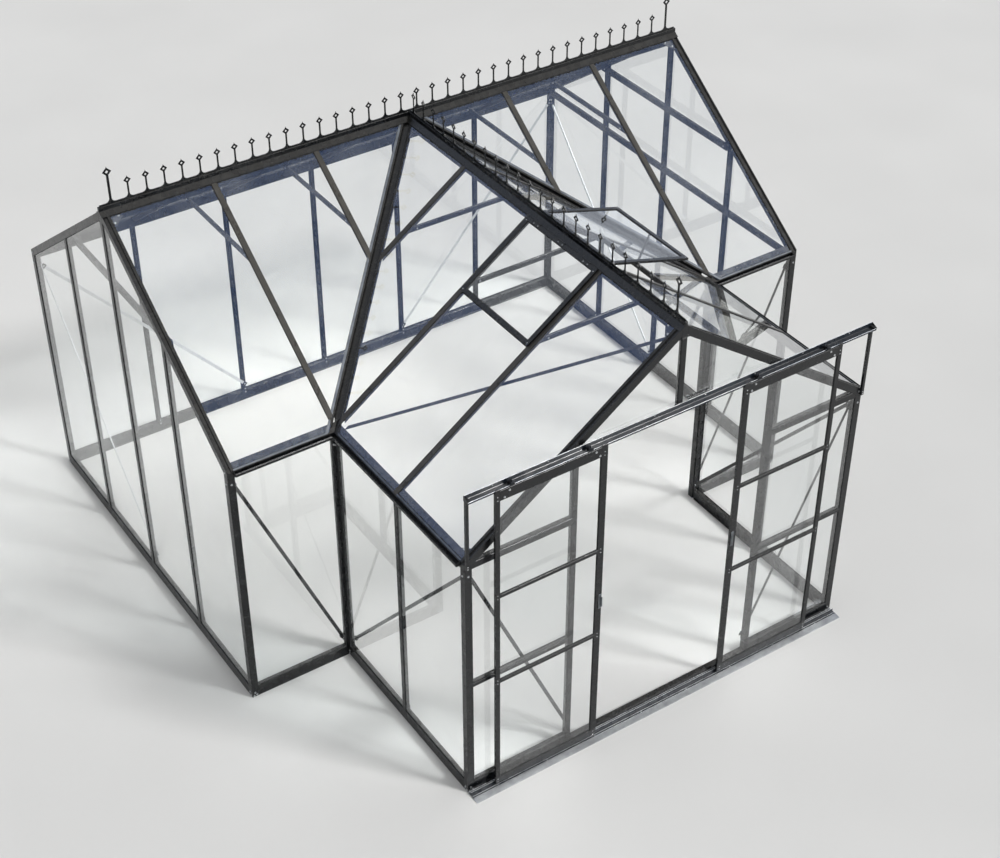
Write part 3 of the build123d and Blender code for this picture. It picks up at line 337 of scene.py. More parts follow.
@dataclass(frozen=True)
class MillMetal(Finish):
    """Bare rolled or extruded metal, with die lines along its length."""

    colour: str = "#c3c5c7"
    dull: str = "#9b9ea2"
    roughness: float = 0.3
    smoother: float = 0.06
    rougher: float = 0.12
    lines: float = 0.18
    line_depth_mm: float = 0.05
    line_mm: float = 1.2
    patch_mm: float = 45.0
    line_spread: Span = (0.3, 0.7)
    patch_spread: Span = (0.35, 0.7)
    along: tuple[float, float, float] = (0.02, 1.0, 1.0)

    def shade(self, tree: bpy.types.NodeTree) -> bpy.types.NodeSocket:
        """Mill-finish metal: the die leaves fine lines, and air dulls it in soft patches.

        The eye sees a light grey metal whose glints draw out into streaks along the piece.

        Args:
            tree: the material's node tree.

        Returns:
            The surface's shader.
        """
        patches = grain(tree, self.patch_mm, 4.0, self.patch_spread)
        base = add_node(tree, "ShaderNodeMix", {
            MIX_SHARE: patches, MIX_FIRST: linear(self.colour), MIX_SECOND: linear(self.dull),
        }, MIX_COLOUR, data_type="RGBA")
        sheen = (self.roughness - self.smoother, self.roughness + self.rougher)
        gloss = grain(tree, self.line_mm, 2.0, self.line_spread, sheen, self.along)
        lines = add_node(tree, "ShaderNodeBump", {
            "Strength": self.lines, "Distance": self.line_depth_mm * MM,
            "Height": grain(tree, self.line_mm, 2.0, stretch=self.along),
        })
        return add_node(tree, "ShaderNodeBsdfPrincipled", {
            "Base Color": base, "Metallic": 1.0, "Roughness": gloss, "Normal": lines,
        })


@dataclass(frozen=True)
class FloatGlass(Finish):
    """Clear toughened float glass, 4 mm thick."""

    tint: str = "#fdfefe"
    passing: str = "#fbfcfc"
    mist: str = "#e8ebef"
    mist_share: float = 0.012
    mirrored: str = "#ffffff"
    ior: float = 1.52
    streak_mm: float = 160.0
    streak_spread: Span = (0.42, 0.72)
    streak_values: Span = (0.1, 1.0)

    def shade(self, tree: bpy.types.NodeTree) -> bpy.types.NodeSocket:
        """Soda-lime float glass: clear and smooth, with a thin film of mist.

        The eye sees through it, and reads it by the sky that it mirrors at a slant and by a
        milky film in soft clouds, as on glazing with warm damp air behind it.

        Args:
            tree: the material's node tree.

        Returns:
            The surface's shader.
        """
        # Specular Tint colours what the glass mirrors; on the roof glass it is a painted blue sky
        # reflection.
        clear = add_node(tree, "ShaderNodeBsdfPrincipled", {
            "Base Color": linear(self.tint), "Roughness": 0.0, "IOR": self.ior,
            "Transmission Weight": 1.0, "Specular Tint": linear(self.mirrored),
        })
        film = add_node(tree, "ShaderNodeBsdfDiffuse", {"Color": linear(self.mist)})
        drifts = grain(tree, self.streak_mm, 4.0, self.streak_spread, self.streak_values)
        share = add_node(tree, "ShaderNodeMath", {0: drifts, 1: self.mist_share}, operation="MULTIPLY")
        misty = add_node(tree, "ShaderNodeMixShader", {0: share, 1: clear, 2: film})
        passing = add_node(tree, "ShaderNodeBsdfTransparent", {"Color": linear(self.passing)})
        shadow = add_node(tree, "ShaderNodeLightPath", output="Is Shadow Ray")
        return add_node(tree, "ShaderNodeMixShader", {0: shadow, 1: misty, 2: passing})


@dataclass(frozen=True)
class Rubber(Finish):
    """Black EPDM glazing rubber, and the pile of a draught brush."""

    colour: str = "#121314"
    bloom: str = "#2b2c2d"
    bloom_mm: float = 35.0
    bloom_spread: Span = (0.4, 0.75)
    nap: float = 0.3
    nap_depth_mm: float = 0.2
    grain_mm: float = 1.5
    roughness: float = 0.72
    ior: float = 1.45

    def shade(self, tree: bpy.types.NodeTree) -> bpy.types.NodeSocket:
        """Extruded rubber: matt black, with the faint grey bloom that it gets out of doors.

        Args:
            tree: the material's node tree.

        Returns:
            The surface's shader.
        """
        bloom = grain(tree, self.bloom_mm, 3.0, self.bloom_spread)
        base = add_node(tree, "ShaderNodeMix", {
            MIX_SHARE: bloom, MIX_FIRST: linear(self.colour), MIX_SECOND: linear(self.bloom),
        }, MIX_COLOUR, data_type="RGBA")
        bumps = add_node(tree, "ShaderNodeBump", {
            "Strength": self.nap, "Distance": self.nap_depth_mm * MM,
            "Height": grain(tree, self.grain_mm, 2.0),
        })
        return add_node(tree, "ShaderNodeBsdfPrincipled", {
            "Base Color": base, "Roughness": self.roughness, "IOR": self.ior, "Normal": bumps,
        })


@dataclass(frozen=True)
class StudioPaper(Finish):
    """Matt pale floor of the studio."""

    colour: str = "#e5e4e2"
    second: str = "#e0dfdd"
    cloud_mm: float = 1400.0
    cloud_spread: Span = (0.3, 0.7)
    roughness: float = 0.85
    ior: float = 1.4

    def shade(self, tree: bpy.types.NodeTree) -> bpy.types.NodeSocket:
        """Painted floor: an even matt pale grey with a barely cloudy tone.

        Args:
            tree: the material's node tree.

        Returns:
            The surface's shader.
        """
        cloud = grain(tree, self.cloud_mm, 2.0, self.cloud_spread)
        base = add_node(tree, "ShaderNodeMix", {
            MIX_SHARE: cloud, MIX_FIRST: linear(self.colour), MIX_SECOND: linear(self.second),
        }, MIX_COLOUR, data_type="RGBA")
        return add_node(tree, "ShaderNodeBsdfPrincipled", {
            "Base Color": base, "Roughness": self.roughness, "IOR": self.ior,
        })


# Satin powder coat of the frame: near-black, grey only where it catches the sky.
COATED = PowderCoat("satin_black_powder_coat", Slot.BLACK)

# The same coat on pressed fittings, duller and a touch lighter than the bars.
COATED_SMALL = PowderCoat("black_coated_fitting", Slot.BLACK, colour="#1b1d20", roughness=0.42)

# The roof bars' coat, painted a lighter warm dark grey than the frame's coat as a painted sheen of the
# sky on the roof, with more dust on what faces up.
ROOF_SHEEN_COAT = PowderCoat(
    "weathered_roof_bar_coat", Slot.BLACK, colour="#2b2926", worn="#37342f", dust_share=0.22,
    roughness=0.3,
)

# Black anodised head track: smoother than the coat; its cool blue-grey colour is a painted sheen of the
# sky.
TRACK = PowderCoat(
    "black_anodised_track", Slot.BLACK, colour="#20252d", worn="#2c323b", roughness=0.2, peel_mm=0.8,
)

# The floor track, anodised alike in the same painted blue-grey sheen of the sky, with its fin's top
# rubbed bright by the doors, a band that also stands as a painted highlight line.
FLOOR_TRACK = PowderCoat(
    "rubbed_floor_track", Slot.BLACK, colour="#20252d", worn="#2c323b", peel_mm=0.8,
    bare_above=0.0255,
)

# Mill-finish flat bar of the braces, and of the pale strips on the tracks that are painted highlight
# lines of their edges: pale, with soft glints.
BARE = MillMetal("mill_finish_aluminium", Slot.BARE, colour="#e2e4e6", dull="#cfd2d5", roughness=0.4)

# The threshold ramp's aluminium, scuffed by feet to a flatter grey.
RAMP = MillMetal("mill_finish_ramp", Slot.BARE, colour="#b2b4b6", dull="#9c9ea1", roughness=0.5)

# The vent stay's aluminium, painted a dark grey as painted shade of the stay under the ridge.
PAINTED_SHADE_STAY = MillMetal("dulled_stay", Slot.BARE, colour="#3e3b38", dull="#302e2c", roughness=0.45)

# Glass stops and valley trims in a cool grey: a narrow strip that reads as a light line, a painted
# highlight of the sky along the eaves and valleys.
PAINTED_HIGHLIGHT_STOP = MillMetal("grey_anodised_stop", Slot.BLACK, colour="#6c7076", dull="#565a60", roughness=0.35)

# Turned stainless bolts and screws: small bright glints on the black frame.
STAINLESS = MillMetal(
    "stainless_fixing", Slot.STEEL, colour="#d2d4d6", dull="#b4b6b9", roughness=0.24, line_mm=0.8,
    along=EVEN,
)

# Black zinc-plated rollers: dark, with a dim metal shine.
ROLLER = MillMetal(
    "black_zinc_roller", Slot.STEEL, colour="#3a3c40", dull="#2a2c2f", roughness=0.4, along=EVEN,
)

# Zinc-plated steel handles: a plain mid grey.
HANDLE = MillMetal(
    "zinc_plated_steel", Slot.STEEL, colour="#84888c", dull="#6a6e72", roughness=0.38, along=EVEN,
)

# Float glass of the walls and vents: clear, with a mist that is hardly seen.
WALL_GLASS = FloatGlass("clear_float_glass", Slot.GLASS)

# Float glass of the roof: more mist, partly condensation and partly a painted reflection of clouds, and a
# blue tint on what it mirrors that is a painted reflection of an open sky.
ROOF_GLASS = FloatGlass(
    "misted_float_glass", Slot.GLASS, mist_share=0.03, mirrored="#93b6ff", streak_mm=240.0,
)

# Extruded rubber round the panes: a thin dead-black line.
SEAL = Rubber("glazing_rubber", Slot.BLACK)

# Pile of the brush under each door: the deepest black, with a short nap.
BRUSH = Rubber("draught_brush_pile", Slot.BLACK, colour="#17181a", grain_mm=0.9, roughness=0.9)


@dataclass(frozen=True)
class Layout:
    """Setting-out sizes of the greenhouse, from the point under the crossing of its ridges.

    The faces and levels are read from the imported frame, so that fittings follow its pieces.
    """

    ridge_y: float
    main_face: float
    side_face: float
    front_face: float
    ridge: float
    beam_foot: float
    eave_foot: float
    base: float
    mid_rail: float
    header: float
    panel: float = 0.630
    main_panes: int = 6
    gable_panes: int = 4
    vent_pane: int = 2
    pitch: float = radians(35.4)
    post: float = 0.040
    cap: float = 0.030
    glass_depth: float = 0.0043
    glass_back: float = 0.0083
    bar_depth: float = 0.034
    rafter_depth: float = 0.042
    ridge_cap_leg: float = 0.045
    valley_cover: float = 0.054
    post_lip: float = 0.015

    @classmethod
    def measured(cls) -> "Layout":
        """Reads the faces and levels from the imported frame.

        Returns:
            The layout.
        """
        posts_low, posts_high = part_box("corner_posts")
        beam_low, beam_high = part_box("ridge_beam_main")
        rails_low, rails_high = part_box("door_wall_rails")
        ridge_y = (beam_low.y + beam_high.y) / 2
        return cls(
            ridge_y=ridge_y,
            main_face=posts_high.x,
            side_face=posts_high.y - ridge_y,
            front_face=ridge_y - posts_low.y,
            ridge=beam_high.z,
            beam_foot=beam_low.z,
            eave_foot=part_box("valley_posts")[1].z,
            base=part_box("wall_bars")[0].z,
            mid_rail=rails_low.z,
            header=rails_high.z,
        )

    @property
    def main_end(self) -> float:
        """Distance of the main gables' posts, at their inner faces, from the ridges' crossing."""
        return self.main_face - self.post

    @property
    def side_end(self) -> float:
        """Distance of the same posts' inner faces from the main ridge's line."""
        return self.side_face - self.post

    @property
    def wing_end(self) -> float:
        """Distance of the front gable's posts, at their inner faces, from the main ridge's line."""
        return self.front_face - self.post

    @property
    def valley_lip(self) -> float:
        """Distance of the valley posts' outer lips from a ridge's line."""
        return self.side_face + self.post_lip

    @property
    def wing_bar(self) -> float:
        """Grid line of the bar in each side wall of the wing, from the main ridge's line."""
        return self.side_face - self.post / 2 + self.panel

    @property
    def slope_length(self) -> float:
        """Length of a slope from the ridge's line to the eave's."""
        return self.side_face / cos(self.pitch)

    @property
    def valley_shift(self) -> float:
        """How far the valley's cover reaches along a slope's level line from the valley's own."""
        return self.valley_cover / 2 * sqrt(2)

    @property
    def main_lines(self) -> list[float]:
        """Grid lines of the bars along the main wing."""
        return [(i - self.main_panes // 2) * self.panel for i in range(1, self.main_panes)]

    @property
    def gable_lines(self) -> list[float]:
        """Grid lines of the bars across a gable."""
        return [(i - self.gable_panes // 2) * self.panel for i in range(1, self.gable_panes)]

    def panes(self, count: int, half_bar: float, edge: float) -> list[Point]:
        """Clear widths of a row of equal panes between bars, held back to the posts at its ends.

        Args:
            count: number of panes in the row.
            half_bar: half the width of what covers a pane's edge at a bar.
            edge: distance of the posts' inner faces from the row's middle.

        Returns:
            The left and right end of each pane, from the row's middle.
        """
        half = self.panel / 2
        middles = [(i - (count - 1) / 2) * self.panel for i in range(count)]
        return [
            (max(middle - half + half_bar, -edge), min(middle + half - half_bar, edge))
            for middle in middles
        ]

    def rafter_foot(self, across: float, depth: float) -> float:
        """Height of a slope, at a depth under its outer surface, this far from its ridge."""
        return self.ridge - abs(across) * tan(self.pitch) - depth / cos(self.pitch)

    def slope(self, facing: Facing, along: float, down: float, out: float = 0.0) -> Matrix:
        """Place on a roof slope: its x runs along the eave, y up the slope, z outwards.

        Args:
            facing: the way that the slope faces.
            along: distance along the ridge, to the right of someone who faces the slope.
            down: distance down the slope from the ridge's line.
            out: distance outwards from the slope's outer surface.

        Returns:
            The place as a matrix.
        """
        nx, ny = facing.value
        across = Vector((-ny, nx, 0))
        upward = Vector((-nx * cos(self.pitch), -ny * cos(self.pitch), sin(self.pitch)))
        start = Vector((0, self.ridge_y, self.ridge))
        return placed(start + across * along - upward * down, across, upward, out)

    def wall(self, facing: Facing, face: float, along: float, up: float) -> Matrix:
        """Place on an outer wall face: its x runs level, y up, z outwards.

        Args:
            facing: the way that the wall faces.
            face: distance of the wall's outer face from the ridges' crossing.
            along: distance to the right of someone who faces the wall.
            up: height over the ground.

        Returns:
            The place as a matrix.
        """
        nx, ny = facing.value
        across = Vector((-ny, nx, 0))
        start = Vector((nx * face, self.ridge_y + ny * face, up))
        return placed(start + across * along, across, Vector((0, 0, 1)))


def placed(origin: Vector, across: Vector, upward: Vector, out: float = 0.0) -> Matrix:
    """Matrix of a place from its point and two square directions.

    Args:
        origin: the point.
        across: direction of local x.
        upward: direction of local y.
        out: distance that the point is moved along local z.

    Returns:
        The matrix.
    """
    across = across.normalized()
    upward = upward.normalized()
    normal = across.cross(upward)
    matrix = Matrix((across, upward, normal)).transposed().to_4x4()
    matrix.translation = origin + normal * out
    return matrix


def at(place: Matrix, x: float, y: float, z: float = 0.0, turn: float = 0.0) -> Matrix:
    """A place moved along its own axes, then turned about its own z."""
    return place @ Matrix.Translation((x, y, z)) @ Matrix.Rotation(turn, 4, "Z")


def turned_over(place: Matrix) -> Matrix:
    """The same place seen from behind: local z points inwards."""
    return place @ Matrix.Rotation(pi, 4, "Y")


@dataclass(frozen=True)
class Shape:
    """A small form that is repeated: its points, and each face as the numbers of its points."""

    points: np.ndarray
    faces: tuple[tuple[int, ...], ...]

    @classmethod
    def taken(cls, bm: bmesh.types.BMesh) -> "Shape":
        """Takes the form out of a bmesh, its faces outwards, and frees the bmesh.

        Args:
            bm: the bmesh.

        Returns:
            The shape.
        """
        bmesh.ops.remove_doubles(bm, verts=bm.verts, dist=SAME_POINT)
        bmesh.ops.recalc_face_normals(bm, faces=bm.faces)
        bm.verts.index_update()
        points = np.array([v.co[:] for v in bm.verts])
        faces = tuple(tuple(v.index for v in f.verts) for f in bm.faces)
        bm.free()
        return cls(points, faces)


def flat_face(
    bm: bmesh.types.BMesh, outline: Sequence[Point], level: float = 0.0,
) -> bmesh.types.BMFace:
    """Adds a flat face with a given outline, at a level on z."""
    return bm.faces.new([bm.verts.new((x, y, level)) for x, y in outline])


def raise_faces(
    bm: bmesh.types.BMesh, faces: Iterable[bmesh.types.BMFace], move: Vector,
) -> list[bmesh.types.BMVert]:
    """Extrudes faces along a move.

    Args:
        bm: the bmesh that they are in.
        faces: the faces, which stay where they are.
        move: how far their copies go.

    Returns:
        The new points.
    """
    grown = bmesh.ops.extrude_face_region(bm, geom=list(faces))
    tips = [v for v in grown["geom"] if isinstance(v, bmesh.types.BMVert)]
    bmesh.ops.translate(bm, verts=tips, vec=move)
    return tips


def plate(outline: Sequence[Point], thickness: float, soften: float = 0.0008) -> Shape:
    """A plate with softened edges, from z = 0 up.

    Args:
        outline: its corners, in order.
        thickness: its thickness.
        soften: size of the bevel along its edges.

    Returns:
        The shape.
    """
    bm = bmesh.new()
    face = flat_face(bm, outline)
    raise_faces(bm, [face], Vector((0, 0, thickness)))
    bmesh.ops.bevel(
        bm, geom=bm.edges[:], offset=soften, offset_type="OFFSET", segments=1, profile=0.5,
        affect="EDGES", material=-1,
    )
    return Shape.taken(bm)


def block(width: float, height: float, depth: float, soften: float = 0.0008) -> Shape:
    """A softened block on z = 0: width along x and height along y, both centred, depth along z."""
    x, y = width / 2, height / 2
    return plate([(-x, -y), (x, -y), (x, y), (-x, y)], depth, soften)


def flat_bar(width: float, low: float, high: float, soften: float = 0.0002) -> Shape:
    """A flat bar of unit length along x, with the corners of its section cut small.

    Args:
        width: its size along y.
        low: its underside, on z.
        high: its top, on z.
        soften: size of the cut at its corners.

    Returns:
        The shape.
    """
    half = width / 2
    section = [
        (-half + soften, low), (half - soften, low), (half, low + soften), (half, high - soften),
        (half - soften, high), (-half + soften, high), (-half, high - soften), (-half, low + soften),
    ]
    bm = bmesh.new()
    face = bm.faces.new([bm.verts.new((0, y, z)) for y, z in section])
    raise_faces(bm, [face], Vector((1, 0, 0)))
    return Shape.taken(bm)


def disc(bm: bmesh.types.BMesh, radius: float, foot: float, head: float, sides: int) -> None:
    """Adds a round or many-sided disc between two levels.

    Args:
        bm: the bmesh that it goes into.
        radius: distance of its corners from the z axis.
        foot: its lower level.
        head: its upper level.
        sides: number of its sides.
    """
    bmesh.ops.create_cone(
        bm, cap_ends=True, segments=sides, radius1=radius, radius2=radius, depth=head - foot,
        matrix=Matrix.Translation((0, 0, (foot + head) / 2)),
    )


@dataclass(frozen=True)
class HexBolt:
    """A hexagon head with a chamfered top on its washer, standing on z = 0."""

    flats: float
    head: float
    washer: float
    washer_thickness: float = 0.0009
    washer_sunk: float = 0.0002
    washer_sides: int = 14
    sides: int = 6
    chamfer: float = 0.0007

    def shape(self) -> Shape:
        """Makes the bolt's form.

        Returns:
            The shape.
        """
        reach = self.flats / sqrt(3)
        narrowing = 1 - self.chamfer / reach
        shoulder = self.washer_thickness + self.head - self.chamfer
        bm = bmesh.new()
        disc(bm, reach, self.washer_thickness / 2, shoulder, self.sides)
        top = max(bm.faces, key=lambda face: face.calc_center_median().z)
        tips = raise_faces(bm, [top], Vector((0, 0, self.chamfer)))
        bmesh.ops.delete(bm, geom=[top], context="FACES_ONLY")
        bmesh.ops.scale(bm, verts=tips, vec=(narrowing, narrowing, 1))
        disc(bm, self.washer / 2, -self.washer_sunk, self.washer_thickness, self.washer_sides)
        return Shape.taken(bm)


@dataclass(frozen=True)
class DomeScrew:
    """A low domed screw head with a drive recess, standing on z = 0."""

    width: float
    height: float
    rim_steps: int = 3
    sides: int = 12
    recess_mouth: float = 0.16
    recess_floor: float = 0.12
    recess_level: float = 0.4

    def shape(self) -> Shape:
        """Makes the screw's form: its profile spun round the z axis and closed underneath.

        Returns:
            The shape.
        """
        turns = [t * pi / 2 / self.rim_steps for t in range(self.rim_steps)]
        level = self.height * self.recess_level
        profile = [(self.width / 2 * cos(turn), self.height * sin(turn)) for turn in turns]
        profile += [(self.width * self.recess_mouth, self.height)]
        profile += [(self.width * self.recess_floor, level), (0, level)]
        bm = bmesh.new()
        rim = [bm.verts.new((x, 0, z)) for x, z in profile]
        edges = [bm.edges.new(pair) for pair in zip(rim, rim[1:])]
        bmesh.ops.spin(
            bm, geom=rim + edges, cent=(0, 0, 0), axis=(0, 0, 1), angle=2 * pi, steps=self.sides,
            use_merge=True,
        )
        bmesh.ops.remove_doubles(bm, verts=bm.verts, dist=SAME_POINT)
        bmesh.ops.edgeloop_fill(bm, edges=[edge for edge in bm.edges if edge.is_boundary])
        return Shape.taken(bm)


@dataclass
class Batch:
    """Repeats of small shapes on one body, joined into one piece with one finish."""

    name: str
    finish: Finish
    body: str = "frame"
    points: list[np.ndarray] = field(default_factory=list)
    faces: list[tuple[int, ...]] = field(default_factory=list)
    count: int = 0

    def add(self, shape: Shape, place: Matrix, length: float = 1.0) -> None:
        """Adds one copy of a shape.

        Args:
            shape: the shape.
            place: where it stands.
            length: stretch along its own x, for bars of unit length.
        """
        turn = np.array(place.to_3x3())
        stretched = shape.points * np.array((length, 1.0, 1.0))
        self.points.append(stretched @ turn.T + np.array(place.translation))
        self.faces.extend(tuple(i + self.count for i in f) for f in shape.faces)
        self.count += len(shape.points)

    def add_all(self, shape: Shape, places: Iterable[Matrix]) -> None:
        """Adds a copy of a shape at each place."""
        for place in places:
            self.add(shape, place)

    def build(self) -> None:
        """Makes the piece and puts it on its body."""
        mesh = bpy.data.meshes.new(self.name)
        mesh.from_pydata(np.concatenate(self.points).tolist(), [], self.faces)
        seated(mesh, self.name, self.body, self.finish)


def seated(mesh: bpy.types.Mesh, name: str, body: str, finish: Finish) -> None:
    """Makes an object of a mesh, smooth over its soft edges, dresses it and puts it on its body.

    Args:
        mesh: the mesh, with its place in its points.
        name: the piece's name.
        body: the body of the frame that it rides on.
        finish: its finish.
    """
    mesh.shade_smooth()
    mesh.set_sharp_from_angle(angle=SMOOTH_UNDER)
    piece = bpy.data.objects.new(name, mesh)
    bpy.context.scene.collection.objects.link(piece)
    mesh.materials.append(finish.material())
    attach(piece, body)
    LOG.info("%s: %d faces, on %s", name, len(mesh.polygons), body)


@dataclass(frozen=True)
class Opening:
    """A pane's clear opening in a wall or a slope: a rectangle, less what slanting pieces cover."""

    place: Matrix
    left: float
    right: float
    foot: float
    head: float
    cuts: tuple[Cut, ...] = ()

    def face(self, bm: bmesh.types.BMesh, level: float) -> bmesh.types.BMFace | None:
        """Adds the opening's outline as one face, in its own frame.

        Args:
            bm: the bmesh that it goes into.
            level: its level on z.

        Returns:
            The face, or nothing where the cuts leave none.
        """
        flat_face(bm, [
            (self.left, self.foot), (self.right, self.foot),
            (self.right, self.head), (self.left, self.head),
        ], level)
        for point, normal in self.cuts:
            bmesh.ops.bisect_plane(
                bm, geom=bm.verts[:] + bm.edges[:] + bm.faces[:], dist=ON_PLANE,
                plane_co=point, plane_no=normal, clear_outer=True,
            )
        bmesh.ops.dissolve_degenerate(bm, edges=bm.edges, dist=SLIVER)
        bm.faces.ensure_lookup_table()
        return bm.faces[0] if bm.faces else None

    def ring(self, width: float, seat: float, crown: float, lip: float) -> Shape | None:
        """A mitred seal round the opening's edge.

        Args:
            width: how far it reaches into the opening.
            seat: its underside, on z.
            crown: its top at the opening's edge, on z.
            lip: its top at its inner edge, on z.

        Returns:
            The shape, or nothing where the opening is too small.
        """
        bm = bmesh.new()
        face = self.face(bm, seat)
        if face is None:
            bm.free()
            return None
        rim = bmesh.ops.inset_region(
            bm, faces=[face], thickness=width, use_even_offset=True, use_boundary=True,
        )["faces"]
        inner = [v.co.copy() for v in face.verts]
        bmesh.ops.delete(bm, geom=[face], context="FACES_ONLY")
        tips = raise_faces(bm, rim, Vector((0, 0, crown - seat)))
        for tip in tips:
            if any((tip.co.xy - co.xy).length < SAME_POINT for co in inner):
                tip.co.z = lip
        return Shape.taken(bm)

    def slab(self, low: float, high: float) -> Shape | None:
        """A solid with the opening's outline.

        Args:
            low: its lower level on z.
            high: its upper level.

        Returns:
            The shape, or nothing where the cuts leave none.
        """
        bm = bmesh.new()
        face = self.face(bm, low)
        if face is None:
            bm.free()
            return None
        raise_faces(bm, [face], Vector((0, 0, high - low)))
        return Shape.taken(bm)


@dataclass
class Glazing:
    """Seals round the fixed panes, stops along the eaves, and trims at the ridges and valleys."""

    layout: Layout
    off_glass: float = 0.0001
    seal_width: float = 0.0035
    seal_crown: float = 0.0012
    seal_lip: float = 0.0008
    inner_crown: float = 0.0022
    inner_lip: float = 0.0009
    inner_shelf: float = 0.013
    inner_head: float = 0.030
    inner_eave: float = 0.012
    stop_width: float = 0.009
    stop_inset: float = 0.0005
    closer_width: float = 0.010
    closer_showing: float = 0.0015
    closer_drop: float = 0.0002
    trim_width: float = 0.012
    trim_drop: float = 0.0004
    mid_rail_height: float = 0.024
    side_rail_rise: float = 0.040
    vent_sill_reach: float = 0.025

    @property
    def seat(self) -> float:
        """Level that fittings on the panes' outer face stand on, from the slope's surface."""
        return self.off_glass - self.layout.glass_depth

    @property
    def vent_foot(self) -> float:
        """Distance of the vent sills' lower edge from the ridge, down the slope.

        Returns:
            The distance.
        """
        pitch = self.layout.pitch
        low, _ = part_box("vent_sills")
        return (self.layout.ridge - low.z) / sin(pitch) - self.vent_sill_reach / tan(pitch)

    def valley_cut(self, sign: int) -> Cut:
        """Cut along a valley's cover, for the part of a slope left (1) or right (-1) of it."""
        shift = self.layout.valley_shift
        return Vector((-sign * shift, 0, 0)), Vector((sign, -cos(self.layout.pitch), 0))

    def gable_cuts(self) -> tuple[Cut, Cut]:
        """Cuts under a gable's two rafters.

        Returns:
            Both cuts, in a wall's own frame.
        """
        peak = Vector((0, self.layout.rafter_foot(0, self.layout.rafter_depth), 0))
        lean = tan(self.layout.pitch)
        return (peak, Vector((lean, 1, 0))), (peak, Vector((-lean, 1, 0)))

    def slopes(self, half_bar: float, head: float, foot: float) -> list[Opening]:
        """Openings of all roof panes between two lines of the slopes.

        Args:
            half_bar: half the width of what covers a pane's edge at a bar.
            head: distance of the upper line from the ridge, down the slope.
            foot: distance of the lower line.

        Returns:
            The openings.
        """
        lay = self.layout
        start = {facing: lay.slope(facing, 0, 0) for facing in Facing}
        found = []
        for left, right in lay.panes(lay.main_panes, half_bar, lay.main_end):
            cut = (self.valley_cut(1 if left + right < 0 else -1),)
            found.append(Opening(start[Facing.BACK], left, right, -foot, -head))
            found.append(Opening(start[Facing.FRONT], left, right, -foot, -head, cut))
        for number in range(lay.gable_panes):
            near = number * lay.panel + half_bar
            far = min((number + 1) * lay.panel - half_bar, lay.wing_end)
            upper = max(head, self.vent_foot) if number == lay.vent_pane else head
            if upper < foot:
                left_cut, right_cut = (self.valley_cut(-1),), (self.valley_cut(1),)
                found.append(Opening(start[Facing.LEFT], near, far, -foot, -upper, left_cut))
                found.append(Opening(start[Facing.RIGHT], -far, -near, -foot, -upper, right_cut))
        return found

    def valley_edges(self, foot: float) -> list[Opening]:
        """Strips of the main front slope beside both valley covers.

        Args:
            foot: distance of the line where they end from the ridge, down the slope.

        Returns:
            The strips.
        """
        lay = self.layout
        start = lay.slope(Facing.FRONT, 0, 0)
        found = []
        for sign in (1, -1):
            point, normal = self.valley_cut(sign)
            beyond = point - Vector((sign * self.trim_width * sqrt(2), 0, 0))
            left, right = sorted((-sign * lay.main_end, 0))
            cuts = ((point, normal), (beyond, -normal))
            found.append(Opening(start, left, right, -foot, -lay.ridge_cap_leg, cuts))
        return found

    def walls(self, half_bar: float) -> list[Opening]:
        """Openings of all wall panes.

        Args:
            half_bar: half the width of what covers a pane's edge at a bar.

        Returns:
            The openings.
        """
        lay = self.layout
        foot, head = lay.base, lay.eave_foot
        cuts = self.gable_cuts()
        back = lay.wall(Facing.BACK, lay.side_face, 0, 0)
        front = lay.wall(Facing.FRONT, lay.side_face, 0, 0)
        found = [
            Opening(back, left, right, foot, head)
            for left, right in lay.panes(lay.main_panes, half_bar, lay.main_end)
        ]
        for left, right in lay.panes(lay.gable_panes, half_bar, lay.side_end):
            for facing in (Facing.LEFT, Facing.RIGHT):
                gable = lay.wall(facing, lay.main_face, 0, 0)
                found.append(Opening(gable, left, right, foot, lay.beam_foot, cuts))
        found.append(Opening(front, -lay.main_end, -lay.valley_lip, foot, head))
        found.append(Opening(front, lay.valley_lip, lay.main_end, foot, head))
        ends = ((lay.valley_lip, lay.wing_bar - half_bar), (lay.wing_bar + half_bar, lay.wing_end))
        for near, far in ends:
            left_side = lay.wall(Facing.LEFT, lay.side_face, 0, 0)
            right_side = lay.wall(Facing.RIGHT, lay.side_face, 0, 0)
            found.append(Opening(left_side, near, far, foot, head))
            found.append(Opening(right_side, -far, -near, foot, head))
        return found + self.door_wall(half_bar)

    def door_wall(self, half_bar: float) -> list[Opening]:
        """Openings of the fixed panes beside and over the doors.

        Args:
            half_bar: half the width of what covers a pane's edge at a bar.

        Returns:
            The openings.
        """
        lay = self.layout
        face = lay.wall(Facing.FRONT, lay.front_face, 0, 0)
        cuts = self.gable_cuts()
        lower = ((lay.base, lay.mid_rail), (lay.mid_rail + self.mid_rail_height, lay.eave_foot))
        upper_foot = lay.eave_foot + self.side_rail_rise
        found = []
        for sign in (-1, 1):
            near, far = sorted((sign * (lay.panel + lay.cap / 2), sign * lay.side_end))
            for foot, head in lower:
                found.append(Opening(face, near, far, foot, head))
            found.append(Opening(face, near, far, upper_foot, lay.beam_foot, cuts))
            near, far = sorted((sign * half_bar, sign * (lay.panel - lay.cap / 2)))
            found.append(Opening(face, near, far, lay.header, lay.beam_foot, cuts))
        return found

    def seal(
        self, name: str, openings: Iterable[Opening], seat: float, crown: float, lip: float,
    ) -> None:
        """Makes one piece of the seals round many openings.

        Args:
            name: the piece's name.
            openings: the openings.
            seat: the seals' underside, on z.
            crown: their top at an opening's edge.
            lip: their top at their inner edge.
        """
        seals = Batch(name, SEAL)
        for opening in openings:
            ring = opening.ring(self.seal_width, seat, crown, lip)
            if ring:
                seals.add(ring, opening.place)
        seals.build()

